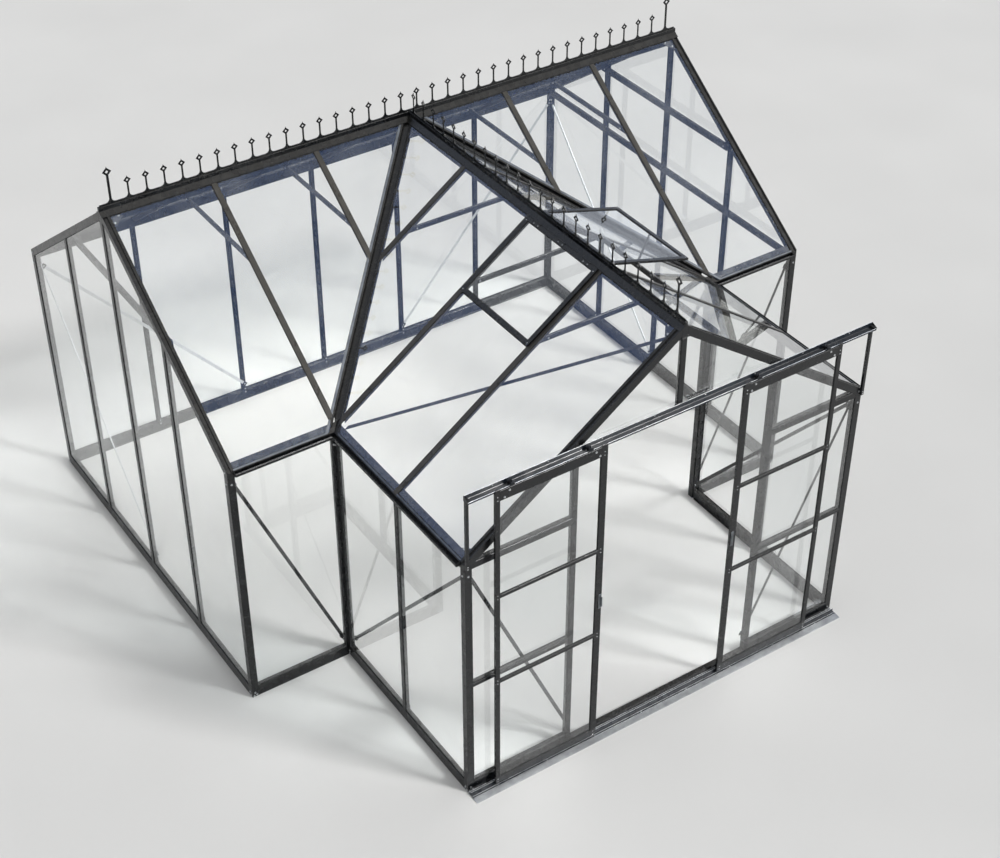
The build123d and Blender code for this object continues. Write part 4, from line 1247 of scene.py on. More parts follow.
    def fill(self, name: str, finish: Finish, openings: Iterable[Opening], crown: float) -> None:
        """Makes one piece of the strips that fill many openings, from the panes up.

        Args:
            name: the piece's name.
            finish: its finish.
            openings: the openings.
            crown: the strips' top, on z.
        """
        strips = Batch(name, finish)
        for opening in openings:
            slab = opening.slab(self.seat, crown)
            if slab:
                strips.add(slab, opening.place)
        strips.build()

    def build(self) -> None:
        """Makes the seals outside and inside, the glass stops, the ridge closers and the trims."""
        lay = self.layout
        half_cap, leg, back = lay.cap / 2, lay.ridge_cap_leg, -lay.glass_back
        stop_line = lay.slope_length - self.stop_width
        outer = self.slopes(half_cap, leg, stop_line) + self.walls(half_cap)
        inner = self.slopes(self.inner_shelf, self.inner_head, lay.slope_length - self.inner_eave)
        inner += self.walls(self.inner_shelf)
        eaves = self.slopes(half_cap, stop_line, lay.slope_length - self.stop_inset)
        ridges = self.slopes(half_cap, leg - self.closer_width, leg + self.closer_showing)
        self.seal("glazing_seals_outside", outer, self.seat, -self.seal_crown, self.seat + self.seal_lip)
        self.seal("glazing_seals_inside", inner, back, back - self.inner_crown, back - self.inner_lip)
        # Eave stops in the pale stop grey: painted highlight lines along the eaves.
        self.fill("eave_glass_stops", PAINTED_HIGHLIGHT_STOP, eaves, 0.0)
        self.fill("ridge_cap_closers", SEAL, ridges, -self.closer_drop)
        # Valley trims in the stop grey: a painted highlight of the sky on the valley's side.
        self.fill("valley_edge_trims", PAINTED_HIGHLIGHT_STOP, self.valley_edges(stop_line), -self.trim_drop)


@dataclass
class PostFixings:
    """Screws at the feet of the corner posts, and bolts where rafters and rails meet them."""

    layout: Layout
    screw: HexBolt = HexBolt(0.010, 0.0038, 0.013)
    bolt: HexBolt = HexBolt(0.009, 0.0034, 0.0125)
    foot_spots: tuple[Point, ...] = ((-0.009, 0.010), (0.009, 0.014), (-0.002, 0.031))
    joint_drop: float = 0.040
    rafter_rise: float = 0.034

    def faces(self) -> list[tuple[Matrix, bool]]:
        """Every outer face of the corner posts, and whether a rafter ends over it.

        Returns:
            The places of the faces' middles at the ground, each with that answer.
        """
        lay = self.layout
        gable = lay.side_face - lay.post / 2
        main = lay.main_face - lay.post / 2
        wing = lay.front_face - lay.post / 2
        found = []
        for sign in (-1, 1):
            for facing in (Facing.LEFT, Facing.RIGHT):
                found.append((lay.wall(facing, lay.main_face, sign * gable, 0), True))
            for facing in (Facing.FRONT, Facing.BACK):
                found.append((lay.wall(facing, lay.side_face, sign * main, 0), False))
            found.append((lay.wall(Facing.FRONT, lay.front_face, sign * gable, 0), True))
        found.append((lay.wall(Facing.LEFT, lay.side_face, wing, 0), False))
        found.append((lay.wall(Facing.RIGHT, lay.side_face, -wing, 0), False))
        return found

    def build(self) -> None:
        """Makes the screws and the bolts."""
        lay = self.layout
        screws = Batch("post_foot_screws", STAINLESS)
        bolts = Batch("post_head_bolts", STAINLESS)
        screw = self.screw.shape()
        bolt = self.bolt.shape()
        joint = lay.eave_foot - self.joint_drop
        lip_line = lay.side_face + lay.post_lip / 2
        for face, under_rafter in self.faces():
            screws.add_all(screw, [at(face, x, level) for x, level in self.foot_spots])
            bolts.add(bolt, at(face, 0, joint))
            if under_rafter:
                bolts.add(bolt, at(face, 0, lay.eave_foot + self.rafter_rise))
        for facing, sign in ((Facing.LEFT, 1), (Facing.RIGHT, -1)):
            lip = lay.wall(facing, lay.side_face, sign * lip_line, 0)
            screws.add_all(screw, [at(lip, 0, level) for _, level in self.foot_spots[1:]])
            bolts.add(bolt, at(lip, 0, joint))
        for sign in (-1, 1):
            bolts.add(bolt, at(lay.wall(Facing.FRONT, lay.side_face, sign * lip_line, 0), 0, joint))
        screws.build()
        bolts.build()


@dataclass
class BarFixings:
    """Splice plates that hold the wall bars to the base rails, inside."""

    layout: Layout
    bolt: HexBolt = HexBolt(0.008, 0.003, 0.011)
    width: float = 0.020
    height: float = 0.056
    thickness: float = 0.002

    def build(self) -> None:
        """Makes the plates and their bolts."""
        lay = self.layout
        plates = Batch("bar_splice_plates", COATED_SMALL)
        bolts = Batch("bar_splice_bolts", STAINLESS)
        splice = block(self.width, self.height, self.thickness)
        bolt = self.bolt.shape()
        walls = (
            (lay.wall(Facing.BACK, lay.side_face, 0, 0), lay.main_lines),
            (lay.wall(Facing.LEFT, lay.main_face, 0, 0), lay.gable_lines),
            (lay.wall(Facing.RIGHT, lay.main_face, 0, 0), lay.gable_lines),
            (lay.wall(Facing.LEFT, lay.side_face, 0, 0), [lay.wing_bar]),
            (lay.wall(Facing.RIGHT, lay.side_face, 0, 0), [-lay.wing_bar]),
        )
        for wall, lines in walls:
            for line in lines:
                spot = turned_over(at(wall, line, lay.base, -lay.bar_depth))
                plates.add(splice, spot)
                for side in (-1, 1):
                    bolts.add(bolt, at(spot, 0, side * self.height / 4, self.thickness))
        plates.build()
        bolts.build()


@dataclass
class BraceFixings:
    """Cleats and bolts at both ends of every wall brace."""

    layout: Layout
    bolt: HexBolt = HexBolt(0.008, 0.003, 0.012)
    cleat: float = 0.030
    cleat_thickness: float = 0.0025
    brace_thickness: float = 0.003
    inset: float = 0.015
    foot: float = 0.115
    head_drop: float = 0.060
    half_stem: float = 0.008

    def runs(self) -> list[tuple[Matrix, Point, Point]]:
        """Every wall brace.

        Returns:
            For each, its wall's place, its upper end and its lower end.
        """
        lay = self.layout
        head = lay.eave_foot - self.head_drop
        foot = self.foot
        jamb = lay.panel - lay.cap / 2
        front = lay.wall(Facing.FRONT, lay.side_face, 0, 0)
        back = lay.wall(Facing.BACK, lay.side_face, 0, 0)
        doors = lay.wall(Facing.FRONT, lay.front_face, 0, 0)
        found = []
        for sign, facing in ((-1, Facing.LEFT), (1, Facing.RIGHT)):
            gable = lay.wall(facing, lay.main_face, 0, 0)
            flank = lay.wall(facing, lay.side_face, 0, 0)
            found += [
                (front, (sign * lay.main_end, head), (sign * lay.valley_lip, foot)),
                (back, (sign * lay.main_end, head), (sign * (lay.panel - self.half_stem), foot)),
                (doors, (sign * lay.side_end, head), (sign * jamb, foot)),
                (gable, (sign * lay.side_end, head), (-sign * self.half_stem, foot)),
                (flank, (-sign * lay.wing_end, head), (-sign * lay.valley_lip, foot)),
            ]
        return found

    def build(self) -> None:
        """Makes the cleats and their bolts."""
        cleats = Batch("brace_cleats", COATED_SMALL)
        bolts = Batch("brace_bolts", STAINLESS)
        cleat = block(self.cleat, self.cleat, self.cleat_thickness)
        bolt = self.bolt.shape()
        depth = self.layout.bar_depth + self.brace_thickness
        for wall, upper, lower in self.runs():
            lean = atan2(lower[1] - upper[1], lower[0] - upper[0])
            for end, way in ((upper, 1), (lower, -1)):
                along = end[0] + way * self.inset * cos(lean)
                level = end[1] + way * self.inset * sin(lean)
                spot = turned_over(at(wall, along, level, -depth, lean))
                cleats.add(cleat, spot)
                bolts.add(bolt, at(spot, 0, 0, self.cleat_thickness))
        cleats.build()
        bolts.build()


@dataclass
class Gutters:
    """End caps of the gutters."""

    layout: Layout
    reach: float = 0.0245
    thickness: float = 0.002
    soften: float = 0.0004
    eave_height: float = 0.045
    floor_drop: float = 0.0295
    rim_drop: float = 0.011
    shelf: float = 0.004
    shelf_drop: float = 0.003
    wall_drop: float = 0.001

    def outline(self, sign: int) -> list[Point]:
        """Outline of an end cap, from the wall's face outwards.

        Args:
            sign: the way outwards, 1 to the right of someone who faces the cap.

        Returns:
            Its corners, in order.
        """
        eave = self.layout.eave_foot + self.eave_height
        wall = self.layout.side_face
        rim = wall + self.reach
        corners = (
            (wall, self.floor_drop), (rim, self.floor_drop), (rim, self.rim_drop),
            (wall + self.shelf, self.shelf_drop), (wall, self.wall_drop),
        )
        return [(sign * out, eave - drop) for out, drop in corners]

    def build(self) -> None:
        """Makes the end caps."""
        lay = self.layout
        caps = Batch("gutter_end_caps", COATED_SMALL)
        ends = ((Facing.LEFT, lay.main_end), (Facing.RIGHT, lay.main_end), (Facing.FRONT, lay.wing_end))
        for sign in (-1, 1):
            cap = plate(self.outline(sign), self.thickness, self.soften)
            caps.add_all(cap, [lay.wall(facing, end, 0, 0) for facing, end in ends])
        caps.build()


@dataclass
class RoofGussets:
    """Plates under the glass in the corners of each slope, against the rafters and rails.

    A plate is given by its leg along the rail, its rise along the rafter and its cut nose.
    """

    layout: Layout
    bolt: HexBolt = HexBolt(0.009, 0.0034, 0.013)
    head_plate: tuple[float, float, float] = (0.068, 0.068, 0.022)
    foot_plate: tuple[float, float, float] = (0.062, 0.042, 0.006)
    head_bolts: tuple[Point, ...] = ((0.016, 0.050), (0.050, 0.014))
    foot_bolts: tuple[Point, ...] = ((0.042, 0.009),)
    depth: float = 0.019
    thickness: float = 0.003
    soften: float = 0.0005
    ridge_half: float = 0.018
    eave_rail_depth: float = 0.045

    def down(self, level: float) -> float:
        """Distance down a slope to a level distance from the ridge, at the plates' depth."""
        pitch = self.layout.pitch
        return (level + self.depth * sin(pitch)) / cos(pitch)

    def corners(self) -> list[tuple[Matrix, int, int]]:
        """Each corner that has a plate.

        Returns:
            Its place, and the ways along and up the slope into the pane from it.
        """
        lay = self.layout
        head = self.down(self.ridge_half)
        foot = self.down(lay.side_face - self.eave_rail_depth)
        found = []
        for facing in (Facing.FRONT, Facing.BACK):
            for sign in (-1, 1):
                found.append((lay.slope(facing, sign * lay.main_end, head, -self.depth), -sign, -1))
        for facing, along, inwards in ((Facing.LEFT, lay.wing_end, -1), (Facing.RIGHT, -lay.wing_end, 1)):
            found.append((lay.slope(facing, along, head, -self.depth), inwards, -1))
            found.append((lay.slope(facing, along, foot, -self.depth), inwards, 1))
        return found

    def outline(self, along: int, up: int) -> list[Point]:
        """Outline of a corner's plate: low at the eaves, fuller under the ridge.

        Args:
            along: the way along the slope into the pane.
            up: the way up the slope into the pane.

        Returns:
            Its corners, in order.
        """
        leg, rise, nose = self.foot_plate if up > 0 else self.head_plate
        return [
            (0, 0), (along * leg, 0), (along * leg, up * nose), (along * nose, up * rise),
            (0, up * rise),
        ]

    def build(self) -> None:
        """Makes the gusset plates and their bolts."""
        plates = Batch("roof_gusset_plates", COATED_SMALL)
        bolts = Batch("roof_gusset_bolts", STAINLESS)
        bolt = self.bolt.shape()
        for corner, along, up in self.corners():
            plates.add(plate(self.outline(along, up), self.thickness, self.soften), corner)
            for x, y in self.foot_bolts if up > 0 else self.head_bolts:
                bolts.add(bolt, at(corner, along * x, up * y, self.thickness))
        plates.build()
        bolts.build()


@dataclass
class TieFixings:
    """Bolts through the ends of the collar ties and of the gable ties."""

    layout: Layout
    bolt: HexBolt = HexBolt(0.008, 0.003, 0.011)
    collar_drop: float = 0.331
    collar_height: float = 0.030
    collar_half: float = 0.006
    collar_inset: float = 0.016
    gable_tie_drop: float = 0.521
    gable_tie_height: float = 0.040
    gable_tie_thickness: float = 0.020
    gable_tie_reach: float = 0.610

    def collar_faces(self) -> list[Matrix]:
        """Both faces of every collar tie.

        Returns:
            The places of their middles.
        """
        lay = self.layout
        half = self.collar_half
        level = lay.ridge - self.collar_drop + self.collar_height / 2
        lines = [line for line in lay.main_lines if line]
        found = [lay.wall(Facing.RIGHT, x + half, 0, level) for x in lines]
        found += [lay.wall(Facing.LEFT, half - x, 0, level) for x in lines]
        for number in (1, 2, 3):
            line = number * lay.panel
            found.append(lay.wall(Facing.FRONT, line + half, 0, level))
            found.append(lay.wall(Facing.BACK, half - line, 0, level))
        return found

    def build(self) -> None:
        """Makes the bolts on both faces of each collar tie, and inside each gable tie."""
        lay = self.layout
        bolts = Batch("tie_bolts", STAINLESS)
        bolt = self.bolt.shape()
        rise = self.collar_drop - self.collar_height - lay.bar_depth / cos(lay.pitch)
        reach = rise / tan(lay.pitch) - self.collar_inset
        for face in self.collar_faces():
            bolts.add_all(bolt, [at(face, side * reach, 0) for side in (-1, 1)])
        level = lay.ridge - self.gable_tie_drop + self.gable_tie_height / 2
        reach = self.gable_tie_reach
        for facing in (Facing.LEFT, Facing.RIGHT):
            face = lay.wall(facing, lay.main_end - self.gable_tie_thickness, 0, level)
            bolts.add_all(bolt, [turned_over(at(face, side * reach, 0)) for side in (-1, 1)])
        bolts.build()


@dataclass
class RidgeFixings:
    """Screws along the ridge caps, and through the cresting's strip."""

    layout: Layout
    cap_screw: DomeScrew = DomeScrew(0.007, 0.002)
    crest_screw: DomeScrew = DomeScrew(0.006, 0.0015)
    spacing: float = 0.315
    main_count: int = 12
    wing_count: int = 8
    cap_thickness: float = 0.003
    row: float = 0.030
    bead_height: float = 0.022
    crest_half: float = 0.002
    strip_middle: float = 0.005

    def build(self) -> None:
        """Makes the screws."""
        lay = self.layout
        cap_screws = Batch("ridge_cap_screws", COATED_SMALL)
        crest_screws = Batch("cresting_screws", COATED_SMALL)
        screw = self.cap_screw.shape()
        small = self.crest_screw.shape()
        row, out, half = self.row, self.cap_thickness, self.crest_half
        level = lay.ridge + self.bead_height + self.strip_middle
        start = self.main_count / 2 * self.spacing
        for x in [(i + 0.5) * self.spacing - start for i in range(self.main_count)]:
            cap_screws.add(screw, lay.slope(Facing.BACK, x, row, out))
            for facing in (Facing.FRONT, Facing.BACK):
                crest_screws.add(small, lay.wall(facing, half, x, level))
            cap_screws.add(screw, lay.slope(Facing.FRONT, x, row, out))
        for along in [(i + 0.5) * self.spacing for i in range(self.wing_count)]:
            for facing, side in ((Facing.LEFT, 1), (Facing.RIGHT, -1)):
                cap_screws.add(screw, lay.slope(facing, side * along, row, out))
                crest_screws.add(small, lay.wall(facing, half, side * along, level))
        cap_screws.build()
        crest_screws.build()


@dataclass
class Vent:
    """Fittings of one roof vent: seals, hinges and screws. Its y runs up it from the hinge."""

    layout: Layout
    side: Side
    lift: float
    screw: DomeScrew = DomeScrew(0.006, 0.0016)
    width: float = 0.620
    length: float = 0.527
    bar: float = 0.025
    thickness: float = 0.014
    hinge_run: float = 0.0465
    glass_top: float = 0.009
    glass_foot: float = 0.005
    bite: float = 0.0001
    seal_width: float = 0.003
    seal_lip: float = 0.0008
    outer_crown: float = 0.012
    inner_crown: float = 0.003
    hinges_at: tuple[float, ...] = (-0.22, 0.0, 0.22)
    leaf: tuple[float, float, float] = (0.056, 0.018, 0.0015)
    leaf_line: float = -0.012
    leaf_soften: float = 0.0004
    leaf_screws: tuple[Point, ...] = ((-0.018, -0.014), (0.018, -0.014))
    knuckle_sides: int = 12
    knuckle_radius: float = 0.003
    knuckle_half: float = 0.030
    knuckle_spot: Point = (-0.0008, 0.0022)
    top_screw_drop: float = 0.012

    @property
    def name(self) -> str:
        """The vent's side, for the names of its pieces."""
        return self.side.name.lower()

    @property
    def place(self) -> Matrix:
        """The vent's own place at its hinge: its y runs up the slope, z out of its underside.

        Returns:
            The place as a matrix.
        """
        lay = self.layout
        sign = self.side.value
        tilt = lay.pitch - self.lift
        normal = Vector((sign * sin(tilt), 0, cos(tilt)))
        across = Vector((0, sign, 0))
        hinge = Vector((
            sign * self.hinge_run * cos(lay.pitch),
            lay.ridge_y - (lay.vent_pane + 0.5) * lay.panel,
            lay.ridge - self.hinge_run * sin(lay.pitch),
        ))
        return placed(hinge, across, normal.cross(across))

    def seals(self) -> None:
        """Makes the seals on both faces of the pane."""
        batch = Batch(f"{self.name}_vent_seals", SEAL)
        half = self.width / 2 - self.bar
        window = Opening(self.place, -half, half, self.bar - self.length, -self.bar)
        faces = ((self.glass_top, 1, self.outer_crown), (self.glass_foot, -1, self.inner_crown))
        for glass, sign, crown in faces:
            seat = glass - sign * self.bite
            batch.add(window.ring(self.seal_width, seat, crown, glass + sign * self.seal_lip), self.place)
        batch.build()

    def build(self) -> None:
        """Makes the seals, hinges and screws."""
        place = self.place
        self.seals()
        hinges = Batch(f"{self.name}_vent_hinges", COATED_SMALL)
        screws = Batch(f"{self.name}_vent_screws", STAINLESS)
        leaf = block(*self.leaf, self.leaf_soften)
        barrel = bmesh.new()
        ends = (-self.knuckle_half, self.knuckle_half)
        disc(barrel, self.knuckle_radius, *ends, self.knuckle_sides)
        knuckle = Shape.taken(barrel)
        screw = self.screw.shape()
        line, rise = self.knuckle_spot
        for along in self.hinges_at:
            hinges.add(leaf, at(place, along, self.leaf_line, self.thickness))
            roll = at(place, along, line, self.thickness + rise) @ Matrix.Rotation(pi / 2, 4, "Y")
            hinges.add(knuckle, roll)
            for x, y in self.leaf_screws:
                screws.add(screw, at(place, along + x, y, self.thickness + self.leaf[2]))
        for x in (-1, 1):
            for y in (-self.bar / 2 - self.top_screw_drop, self.bar / 2 - self.length):
                screws.add(screw, at(place, x * (self.width / 2 - self.bar / 2), y, self.thickness))
        hinges.build()
        screws.build()


@dataclass
class Stay:
    """Pins through the ends of the open vent's stay."""

    layout: Layout
    pin: HexBolt = HexBolt(0.0065, 0.0026, 0.009)
    ends: Point = (0.08, 0.92)
    margin: float = 0.005

    def build(self) -> None:
        """Makes a pin on both faces of each end."""
        low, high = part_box("vent_stay")
        pins = Batch("vent_stay_pins", STAINLESS)
        pin = self.pin.shape()
        ridge_y = self.layout.ridge_y
        for share in self.ends:
            x = low.x + self.margin + share * (high.x - low.x - 2 * self.margin)
            z = low.z + share * (high.z - low.z)
            pins.add(pin, self.layout.wall(Facing.FRONT, abs(low.y - ridge_y), x, z))
            pins.add(pin, self.layout.wall(Facing.BACK, -abs(high.y - ridge_y), -x, z))
        pins.build()


@dataclass
class DoorTracks:
    """Fittings of the head track and of the floor track."""

    layout: Layout
    screw: DomeScrew = DomeScrew(0.007, 0.002)
    floor_screw: DomeScrew = DomeScrew(0.008, 0.0012)
    depth: float = 0.040
    height: float = 0.030
    wall: float = 0.003
    floor: float = 0.004
    lip: float = 0.011
    nose: float = 0.010
    nose_rise: float = 0.003
    back: float = 0.006
    end: float = 0.0025
    end_soften: float = 0.0005
    edge_width: float = 0.0026
    edge_height: float = 0.0008
    buffer: float = 0.014
    buffer_clear: float = 0.004
    buffer_inset: float = 0.008
    buffer_soften: float = 0.001
    screw_spacing: float = 0.32
    screw_drop: float = 0.009
    strut_inset: float = 0.0085
    strut_depth: float = 0.017
    strut_rises: Point = (0.024, 0.038)
    floor_top: float = 0.008
    floor_screw_line: float = 0.009
    rib_width: float = 0.0018
    rib_height: float = 0.0007
    front_ribs: Point = (0.0025, 0.0155)
    back_rib: float = 0.004

    def end_outline(self) -> list[Point]:
        """Outline of the head track's end: a deep open channel with a low front lip.

        Returns:
            Its corners, as distance from the wall and height.
        """
        depth, nose, rise = self.depth, self.nose, self.nose_rise
        return [
            (0, 0), (depth - nose, 0), (depth - rise, rise), (depth, nose),
            (depth, self.lip + rise), (self.back, self.height), (0, self.height),
        ]

    def head(self, half: float, level: float) -> Matrix:
        """Makes the head track's end caps, pale strips along its edges that are painted highlight lines,
        and buffers.

        Args:
            half: half the track's length.
            level: height of its underside.

        Returns:
            The place on the wall at the middle of its underside.
        """
        lay = self.layout
        caps = Batch("track_end_caps", COATED_SMALL)
        for sign, facing in ((1, Facing.LEFT), (-1, Facing.RIGHT)):
            face = lay.wall(facing, half, sign * lay.front_face, level)
            outline = [(sign * y, z) for y, z in self.end_outline()]
            caps.add(plate(outline, self.end, self.end_soften), face)
        caps.build()
        front = lay.wall(Facing.FRONT, lay.front_face, 0, level)
        lying = Matrix.Rotation(-pi / 2, 4, "X")
        # Pale metal strips on the lip's top and the back's top: painted highlight lines along the track's
        # edges.
        edge = Batch("track_front_edge", BARE)
        strip = flat_bar(self.edge_width, 0.0, self.edge_height)
        edge.add(strip, at(front, -half, self.lip, self.depth - self.wall / 2) @ lying, 2 * half)
        edge.add(strip, at(front, -half, self.height, self.wall / 2) @ lying, 2 * half)
        edge.build()
        buffers = Batch("track_buffers", SEAL)
        inside = self.depth - 2 * self.wall - self.buffer_clear
        buffer = block(self.buffer, inside, self.buffer, self.buffer_soften)
        for sign in (-1, 1):
            spot = at(front, sign * (half - self.buffer_inset), self.floor, self.depth / 2)
            buffers.add(buffer, spot @ lying)
        buffers.build()
        return front

    def build(self) -> None:
        """Makes the fittings of the head track, the screws of both tracks and the floor's ribs, which are
        pale as painted highlight lines.
        """
        lay = self.layout
        low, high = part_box("door_head_track")
        floor_low, floor_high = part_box("door_floor_track")
        half = (high.x - low.x) / 2
        front = self.head(half, low.z)
        east, north = Vector((1, 0, 0)), Vector((0, 1, 0))
        screws = Batch("track_screws", STAINLESS)
        screw = self.screw.shape()
        flat = self.floor_screw.shape()
        count = int(2 * half / self.screw_spacing)
        lines = [(number - count / 2) * self.screw_spacing for number in range(count + 1)]
        screws.add_all(screw, [at(front, x, self.height - self.screw_drop, self.wall) for x in lines])
        face = lay.front_face + self.strut_depth
        for sign in (-1, 1):
            for rise in self.strut_rises:
                along = sign * (half - self.strut_inset)
                screws.add(screw, lay.wall(Facing.FRONT, face, along, lay.eave_foot + rise))
        for x in lines:
            spot = Vector((x, floor_low.y + self.floor_screw_line, self.floor_top))
            screws.add(flat, placed(spot, east, north))
        screws.build()
        # Raised ribs on the floor track in pale metal: painted highlight lines along it.
        ribs = Batch("floor_track_ribs", BARE)
        rib = flat_bar(self.rib_width, 0.0, self.rib_height)
        rows = [floor_low.y + line for line in self.front_ribs] + [floor_high.y - self.back_rib]
        for row in rows:
            ribs.add(rib, placed(Vector((-half, row, self.floor_top)), east, north), 2 * half)
        ribs.build()


@dataclass
class DoorLeaf:
    """Fittings of one sliding leaf, on its own body."""

    layout: Layout
    side: Side
    screw: DomeScrew = DomeScrew(0.0065, 0.0018)
    bolt: HexBolt = HexBolt(0.009, 0.0032, 0.013)
    width: float = 0.658
    thickness: float = 0.016
    stile: float = 0.027
    closing_stile: float = 0.038
    panes: tuple[Point, ...] = ((0.065, 0.774), (0.796, 1.364), (1.386, 1.989))
    glass_front: float = 0.006
    bite: float = 0.0001
    gasket_width: float = 0.003
    gasket_crown: float = -0.002
    gasket_lip: float = -0.0045
    screw_levels: tuple[float, ...] = (0.042, 0.785, 1.375, 2.006)
    screw_rises: Point = (-0.011, 0.011)
    plate_bolts: tuple[Point, ...] = (
        (-0.276, 2.003), (-0.248, 2.035), (0.257, 2.035), (0.281, 2.003),
    )
    handle_level: float = 1.025
    handle_plate: tuple[float, float, float] = (0.018, 0.100, 0.004)
    handle_plate_inset: float = 0.013
    handle_grip: tuple[float, float, float] = (0.006, 0.064, 0.014)
    handle_grip_inset: float = 0.007
    handle_soften: float = 0.0012
    brush_width: float = 0.005
    brush_drop: float = 0.009
    brush_inset: float = 0.004
    brush_head: float = 0.020
    brush_soften: float = 0.0008

    @property
    def body(self) -> str:
        """The body of the frame that the leaf is."""
        return f"{self.side.name.lower()}_door"

    def out(self, along: float) -> float:
        """Turns a distance towards the closing edge into one along the wall."""
        return -self.side.value * along

    def gaskets(self, front: Matrix) -> None:
        """Makes the gaskets on both faces of the leaf's panes.

        Args:
            front: the place of the leaf's front face, at the ground under its middle.
        """
        batch = Batch(f"{self.body}_gaskets", SEAL, self.body)
        back = turned_over(at(front, 0, 0, -self.thickness))
        seat = self.bite - self.glass_front
        left, right = sorted((
            self.out(self.stile - self.width / 2), self.out(self.width / 2 - self.closing_stile),
        ))
        for foot, head in self.panes:
            for place, start, end in ((front, left, right), (back, -right, -left)):
                pane = Opening(place, start, end, foot, head)
                ring = pane.ring(self.gasket_width, seat, self.gasket_crown, self.gasket_lip)
                batch.add(ring, place)
        batch.build()

    def fixings(self, front: Matrix) -> None:
        """Makes the screws of the stiles and the bolts of the roller plates.

        Args:
            front: the place of the leaf's front face, at the ground under its middle.
        """
        screws = Batch(f"{self.body}_screws", STAINLESS, self.body)
        screw = self.screw.shape()
        outer = self.out((self.stile - self.width) / 2)
        closing = self.out((self.width - self.closing_stile) / 2)
        for x in (outer, closing):
            for level in self.screw_levels:
                screws.add_all(screw, [at(front, x, level + rise) for rise in self.screw_rises])
        screws.build()
        bolts = Batch(f"{self.body}_plate_bolts", STAINLESS, self.body)
        spots = [at(front, self.out(x), level) for x, level in self.plate_bolts]
        bolts.add_all(self.bolt.shape(), spots)
        bolts.build()

    def build(self) -> None:
        """Makes gaskets, screws, plate bolts, the handle and the brush."""
        low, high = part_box(f"{self.body}_stiles")
        front = self.layout.wall(Facing.FRONT, self.layout.ridge_y - low.y, (low.x + high.x) / 2, 0)
        self.gaskets(front)
        self.fixings(front)
        handle = Batch(f"{self.body}_handle", HANDLE, self.body)
        parts = ((self.handle_plate, self.handle_plate_inset), (self.handle_grip, self.handle_grip_inset))
        for size, inset in parts:
            spot = at(front, self.out(self.width / 2 - inset), self.handle_level)
            handle.add(block(*size, self.handle_soften), spot)
        handle.build()
        brush = Batch(f"{self.body}_brush", BRUSH, self.body)
        pile = flat_bar(self.brush_width, -self.brush_drop, 0.0, self.brush_soften)
        start = self.brush_inset - self.width / 2
        foot = at(front, start, self.brush_head, -self.thickness / 2)
        length = self.width - 2 * self.brush_inset
        brush.add(pile, foot @ Matrix.Rotation(-pi / 2, 4, "X"), length)
        brush.build()


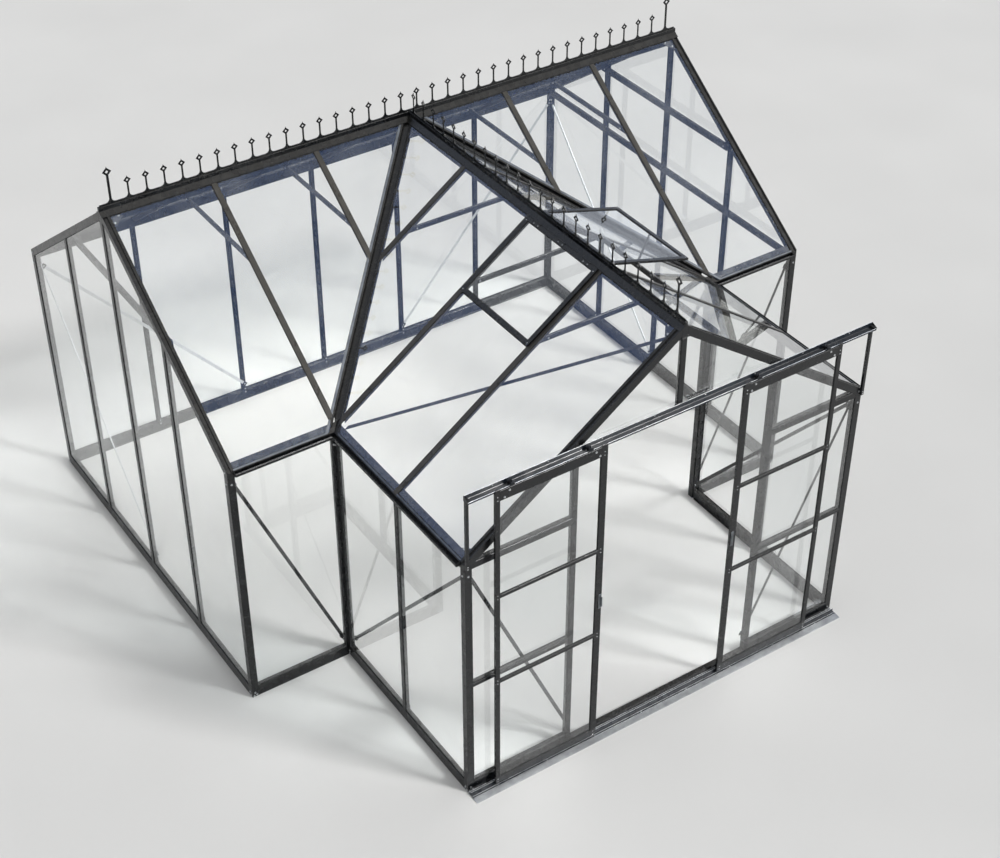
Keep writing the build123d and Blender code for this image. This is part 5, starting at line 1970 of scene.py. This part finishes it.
@dataclass
class Studio:
    """Plain pale floor, soft light and the camera at the photograph's angle."""

    layout: Layout
    floor_size: float = 300.0
    paper: str = "#eef1f4"
    sky: str = "#eef0f2"
    cool: str = "#c6d2e8"
    warm: str = "#f3f3f1"
    cooling: Point = (-0.2, 0.7)
    sky_strength: float = 0.6
    key_strength: float = 1.9
    key_softness: float = radians(10)
    key_from: tuple[float, float, float] = (0.44, -0.61, 0.66)
    camera_place: tuple[float, float, float] = (-4.8299, -8.1557, 7.6332)
    camera_yaw: float = radians(33.767)
    camera_pitch: float = radians(37.897)
    lens: float = 66.89
    sensor: float = 36.0
    sight: float = 200.0

    def floor(self) -> None:
        """A large flat floor under the object, which shows its shadow."""
        bm = bmesh.new()
        bmesh.ops.create_grid(bm, x_segments=1, y_segments=1, size=self.floor_size / 2)
        mesh = bpy.data.meshes.new("studio_floor")
        bm.to_mesh(mesh)
        bm.free()
        ground = bpy.data.objects.new("studio_floor", mesh)
        bpy.context.scene.collection.objects.link(ground)
        mesh.materials.append(StudioPaper("matt_studio_floor", Slot.BARE).material())

    def key(self) -> None:
        """A soft distant lamp from the front right."""
        data = bpy.data.lights.new("key_lamp", "SUN")
        data.energy = self.key_strength
        data.angle = self.key_softness
        lamp = bpy.data.objects.new("key_lamp", data)
        bpy.context.scene.collection.objects.link(lamp)
        toward = Vector(self.key_from).normalized()
        lamp.rotation_euler = toward.to_track_quat("Z", "Y").to_euler()

    def world(self) -> None:
        """An even pale sky; what glass and metal mirror is whiter in front and cooler behind.

        Light that has already met a matt surface always gets the even sky, also through glass.
        """
        world = bpy.data.worlds.new("studio_sky")
        world.use_nodes = True
        tree = world.node_tree
        tree.nodes.clear()
        seen, through, glossy, bounces = (
            add_node(tree, "ShaderNodeLightPath", output=name)
            for name in ("Is Camera Ray", "Is Transmission Ray", "Is Glossy Ray", "Diffuse Depth")
        )
        way = add_node(tree, "ShaderNodeTexCoord", output="Generated")
        behind = add_node(tree, "ShaderNodeSeparateXYZ", {"Vector": way}, "Y")
        cooler = add_node(tree, "ShaderNodeMapRange", {
            "Value": behind, "From Min": self.cooling[0], "From Max": self.cooling[1],
        })
        mirrored = add_node(tree, "ShaderNodeMix", {
            MIX_SHARE: cooler, MIX_FIRST: linear(self.warm), MIX_SECOND: linear(self.cool),
        }, MIX_COLOUR, data_type="RGBA")
        direct = add_node(tree, "ShaderNodeMath", {0: seen, 1: through}, operation="MAXIMUM")
        lit = add_node(tree, "ShaderNodeMix", {
            MIX_SHARE: glossy, MIX_FIRST: linear(self.sky), MIX_SECOND: mirrored,
        }, MIX_COLOUR, data_type="RGBA")
        colour = add_node(tree, "ShaderNodeMix", {
            MIX_SHARE: direct, MIX_FIRST: lit, MIX_SECOND: linear(self.paper),
        }, MIX_COLOUR, data_type="RGBA")
        shown = add_node(tree, "ShaderNodeMath", {0: direct, 1: glossy}, operation="MAXIMUM")
        first = add_node(tree, "ShaderNodeMath", {0: bounces, 1: 0.5}, operation="LESS_THAN")
        full = add_node(tree, "ShaderNodeMath", {0: shown, 1: first}, operation="MULTIPLY")
        strength = add_node(tree, "ShaderNodeMapRange", {
            "Value": full, "To Min": self.sky_strength, "To Max": 1.0,
        })
        backdrop = add_node(tree, "ShaderNodeBackground", {"Color": colour, "Strength": strength})
        add_node(tree, "ShaderNodeOutputWorld", {"Surface": backdrop})
        bpy.context.scene.world = world

    def camera(self) -> None:
        """The camera, where a fit to the photograph's frame lines puts it."""
        data = bpy.data.cameras.new("camera")
        data.lens = self.lens
        data.sensor_width = self.sensor
        data.clip_end = self.sight
        camera = bpy.data.objects.new("camera", data)
        bpy.context.scene.collection.objects.link(camera)
        x, y, z = self.camera_place
        camera.location = (x, y + self.layout.ridge_y, z)
        level = cos(self.camera_pitch)
        forward = Vector((
            sin(self.camera_yaw) * level, cos(self.camera_yaw) * level, -sin(self.camera_pitch),
        ))
        camera.rotation_euler = forward.to_track_quat("-Z", "Y").to_euler()
        bpy.context.scene.camera = camera

    def build(self) -> None:
        """Sets up the whole studio."""
        self.camera()
        self.world()
        self.floor()
        self.key()
        bpy.context.scene.view_settings.view_transform = "Standard"


SLOT_FINISHES: dict[Slot, Finish] = {
    Slot.BLACK: COATED, Slot.BARE: BARE, Slot.GLASS: WALL_GLASS, Slot.STEEL: ROLLER,
}
OWN_FINISHES: dict[str, Finish] = {
    "door_head_track": TRACK,
    "door_floor_track": FLOOR_TRACK,
    "roof_bars_main": ROOF_SHEEN_COAT,
    "roof_bars_wing": ROOF_SHEEN_COAT,
    "threshold_ramp": RAMP,
    "vent_stay": PAINTED_SHADE_STAY,
    "roof_glass_main": ROOF_GLASS,
    "roof_glass_wing": ROOF_GLASS,
}


@dataclass
class FrameFinishes:
    """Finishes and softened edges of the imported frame's own pieces."""

    arris: float = 0.0009
    weld_under: float = 0.01 * MM
    flat_under: float = radians(1)
    sharp_over: float = radians(35)

    def soften(self, piece: bpy.types.Object) -> None:
        """Rounds the arrises of a metal piece, as its die does, with live modifiers.

        Args:
            piece: the piece.
        """
        weld = piece.modifiers.new("weld", "WELD")
        weld.merge_threshold = self.weld_under
        flat = piece.modifiers.new("flat_faces", "DECIMATE")
        flat.decimate_type = "DISSOLVE"
        flat.angle_limit = self.flat_under
        arris = piece.modifiers.new("arris", "BEVEL")
        arris.width = self.arris
        arris.segments = 1
        arris.limit_method = "ANGLE"
        arris.angle_limit = self.sharp_over

    def build(self) -> None:
        """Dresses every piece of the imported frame: some in a finish of their own."""
        for row in frame["record"]["subparts"]:
            node = row["node"]
            finish = OWN_FINISHES.get(node, SLOT_FINISHES[Slot(row["material_slot"])])
            finish.dress(node)
            if finish.slot is not Slot.GLASS:
                self.soften(frame["nodes"][node])
            LOG.info("%s: %s", node, finish.name)


def main() -> None:
    """Builds the studio, dresses the frame and adds every fitting."""
    logging.basicConfig(level=logging.INFO, format="%(name)s: %(message)s")
    layout = Layout.measured()
    assemblies = (
        Studio(layout), FrameFinishes(), Glazing(layout), PostFixings(layout), BarFixings(layout),
        BraceFixings(layout), Gutters(layout), RoofGussets(layout), TieFixings(layout),
        RidgeFixings(layout), Vent(layout, Side.LEFT, 0.0), Vent(layout, Side.RIGHT, radians(19)),
        Stay(layout), DoorTracks(layout), DoorLeaf(layout, Side.LEFT), DoorLeaf(layout, Side.RIGHT),
    )
    for assembly in assemblies:
        assembly.build()
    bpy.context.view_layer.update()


if __name__ == "__main__":
    main()
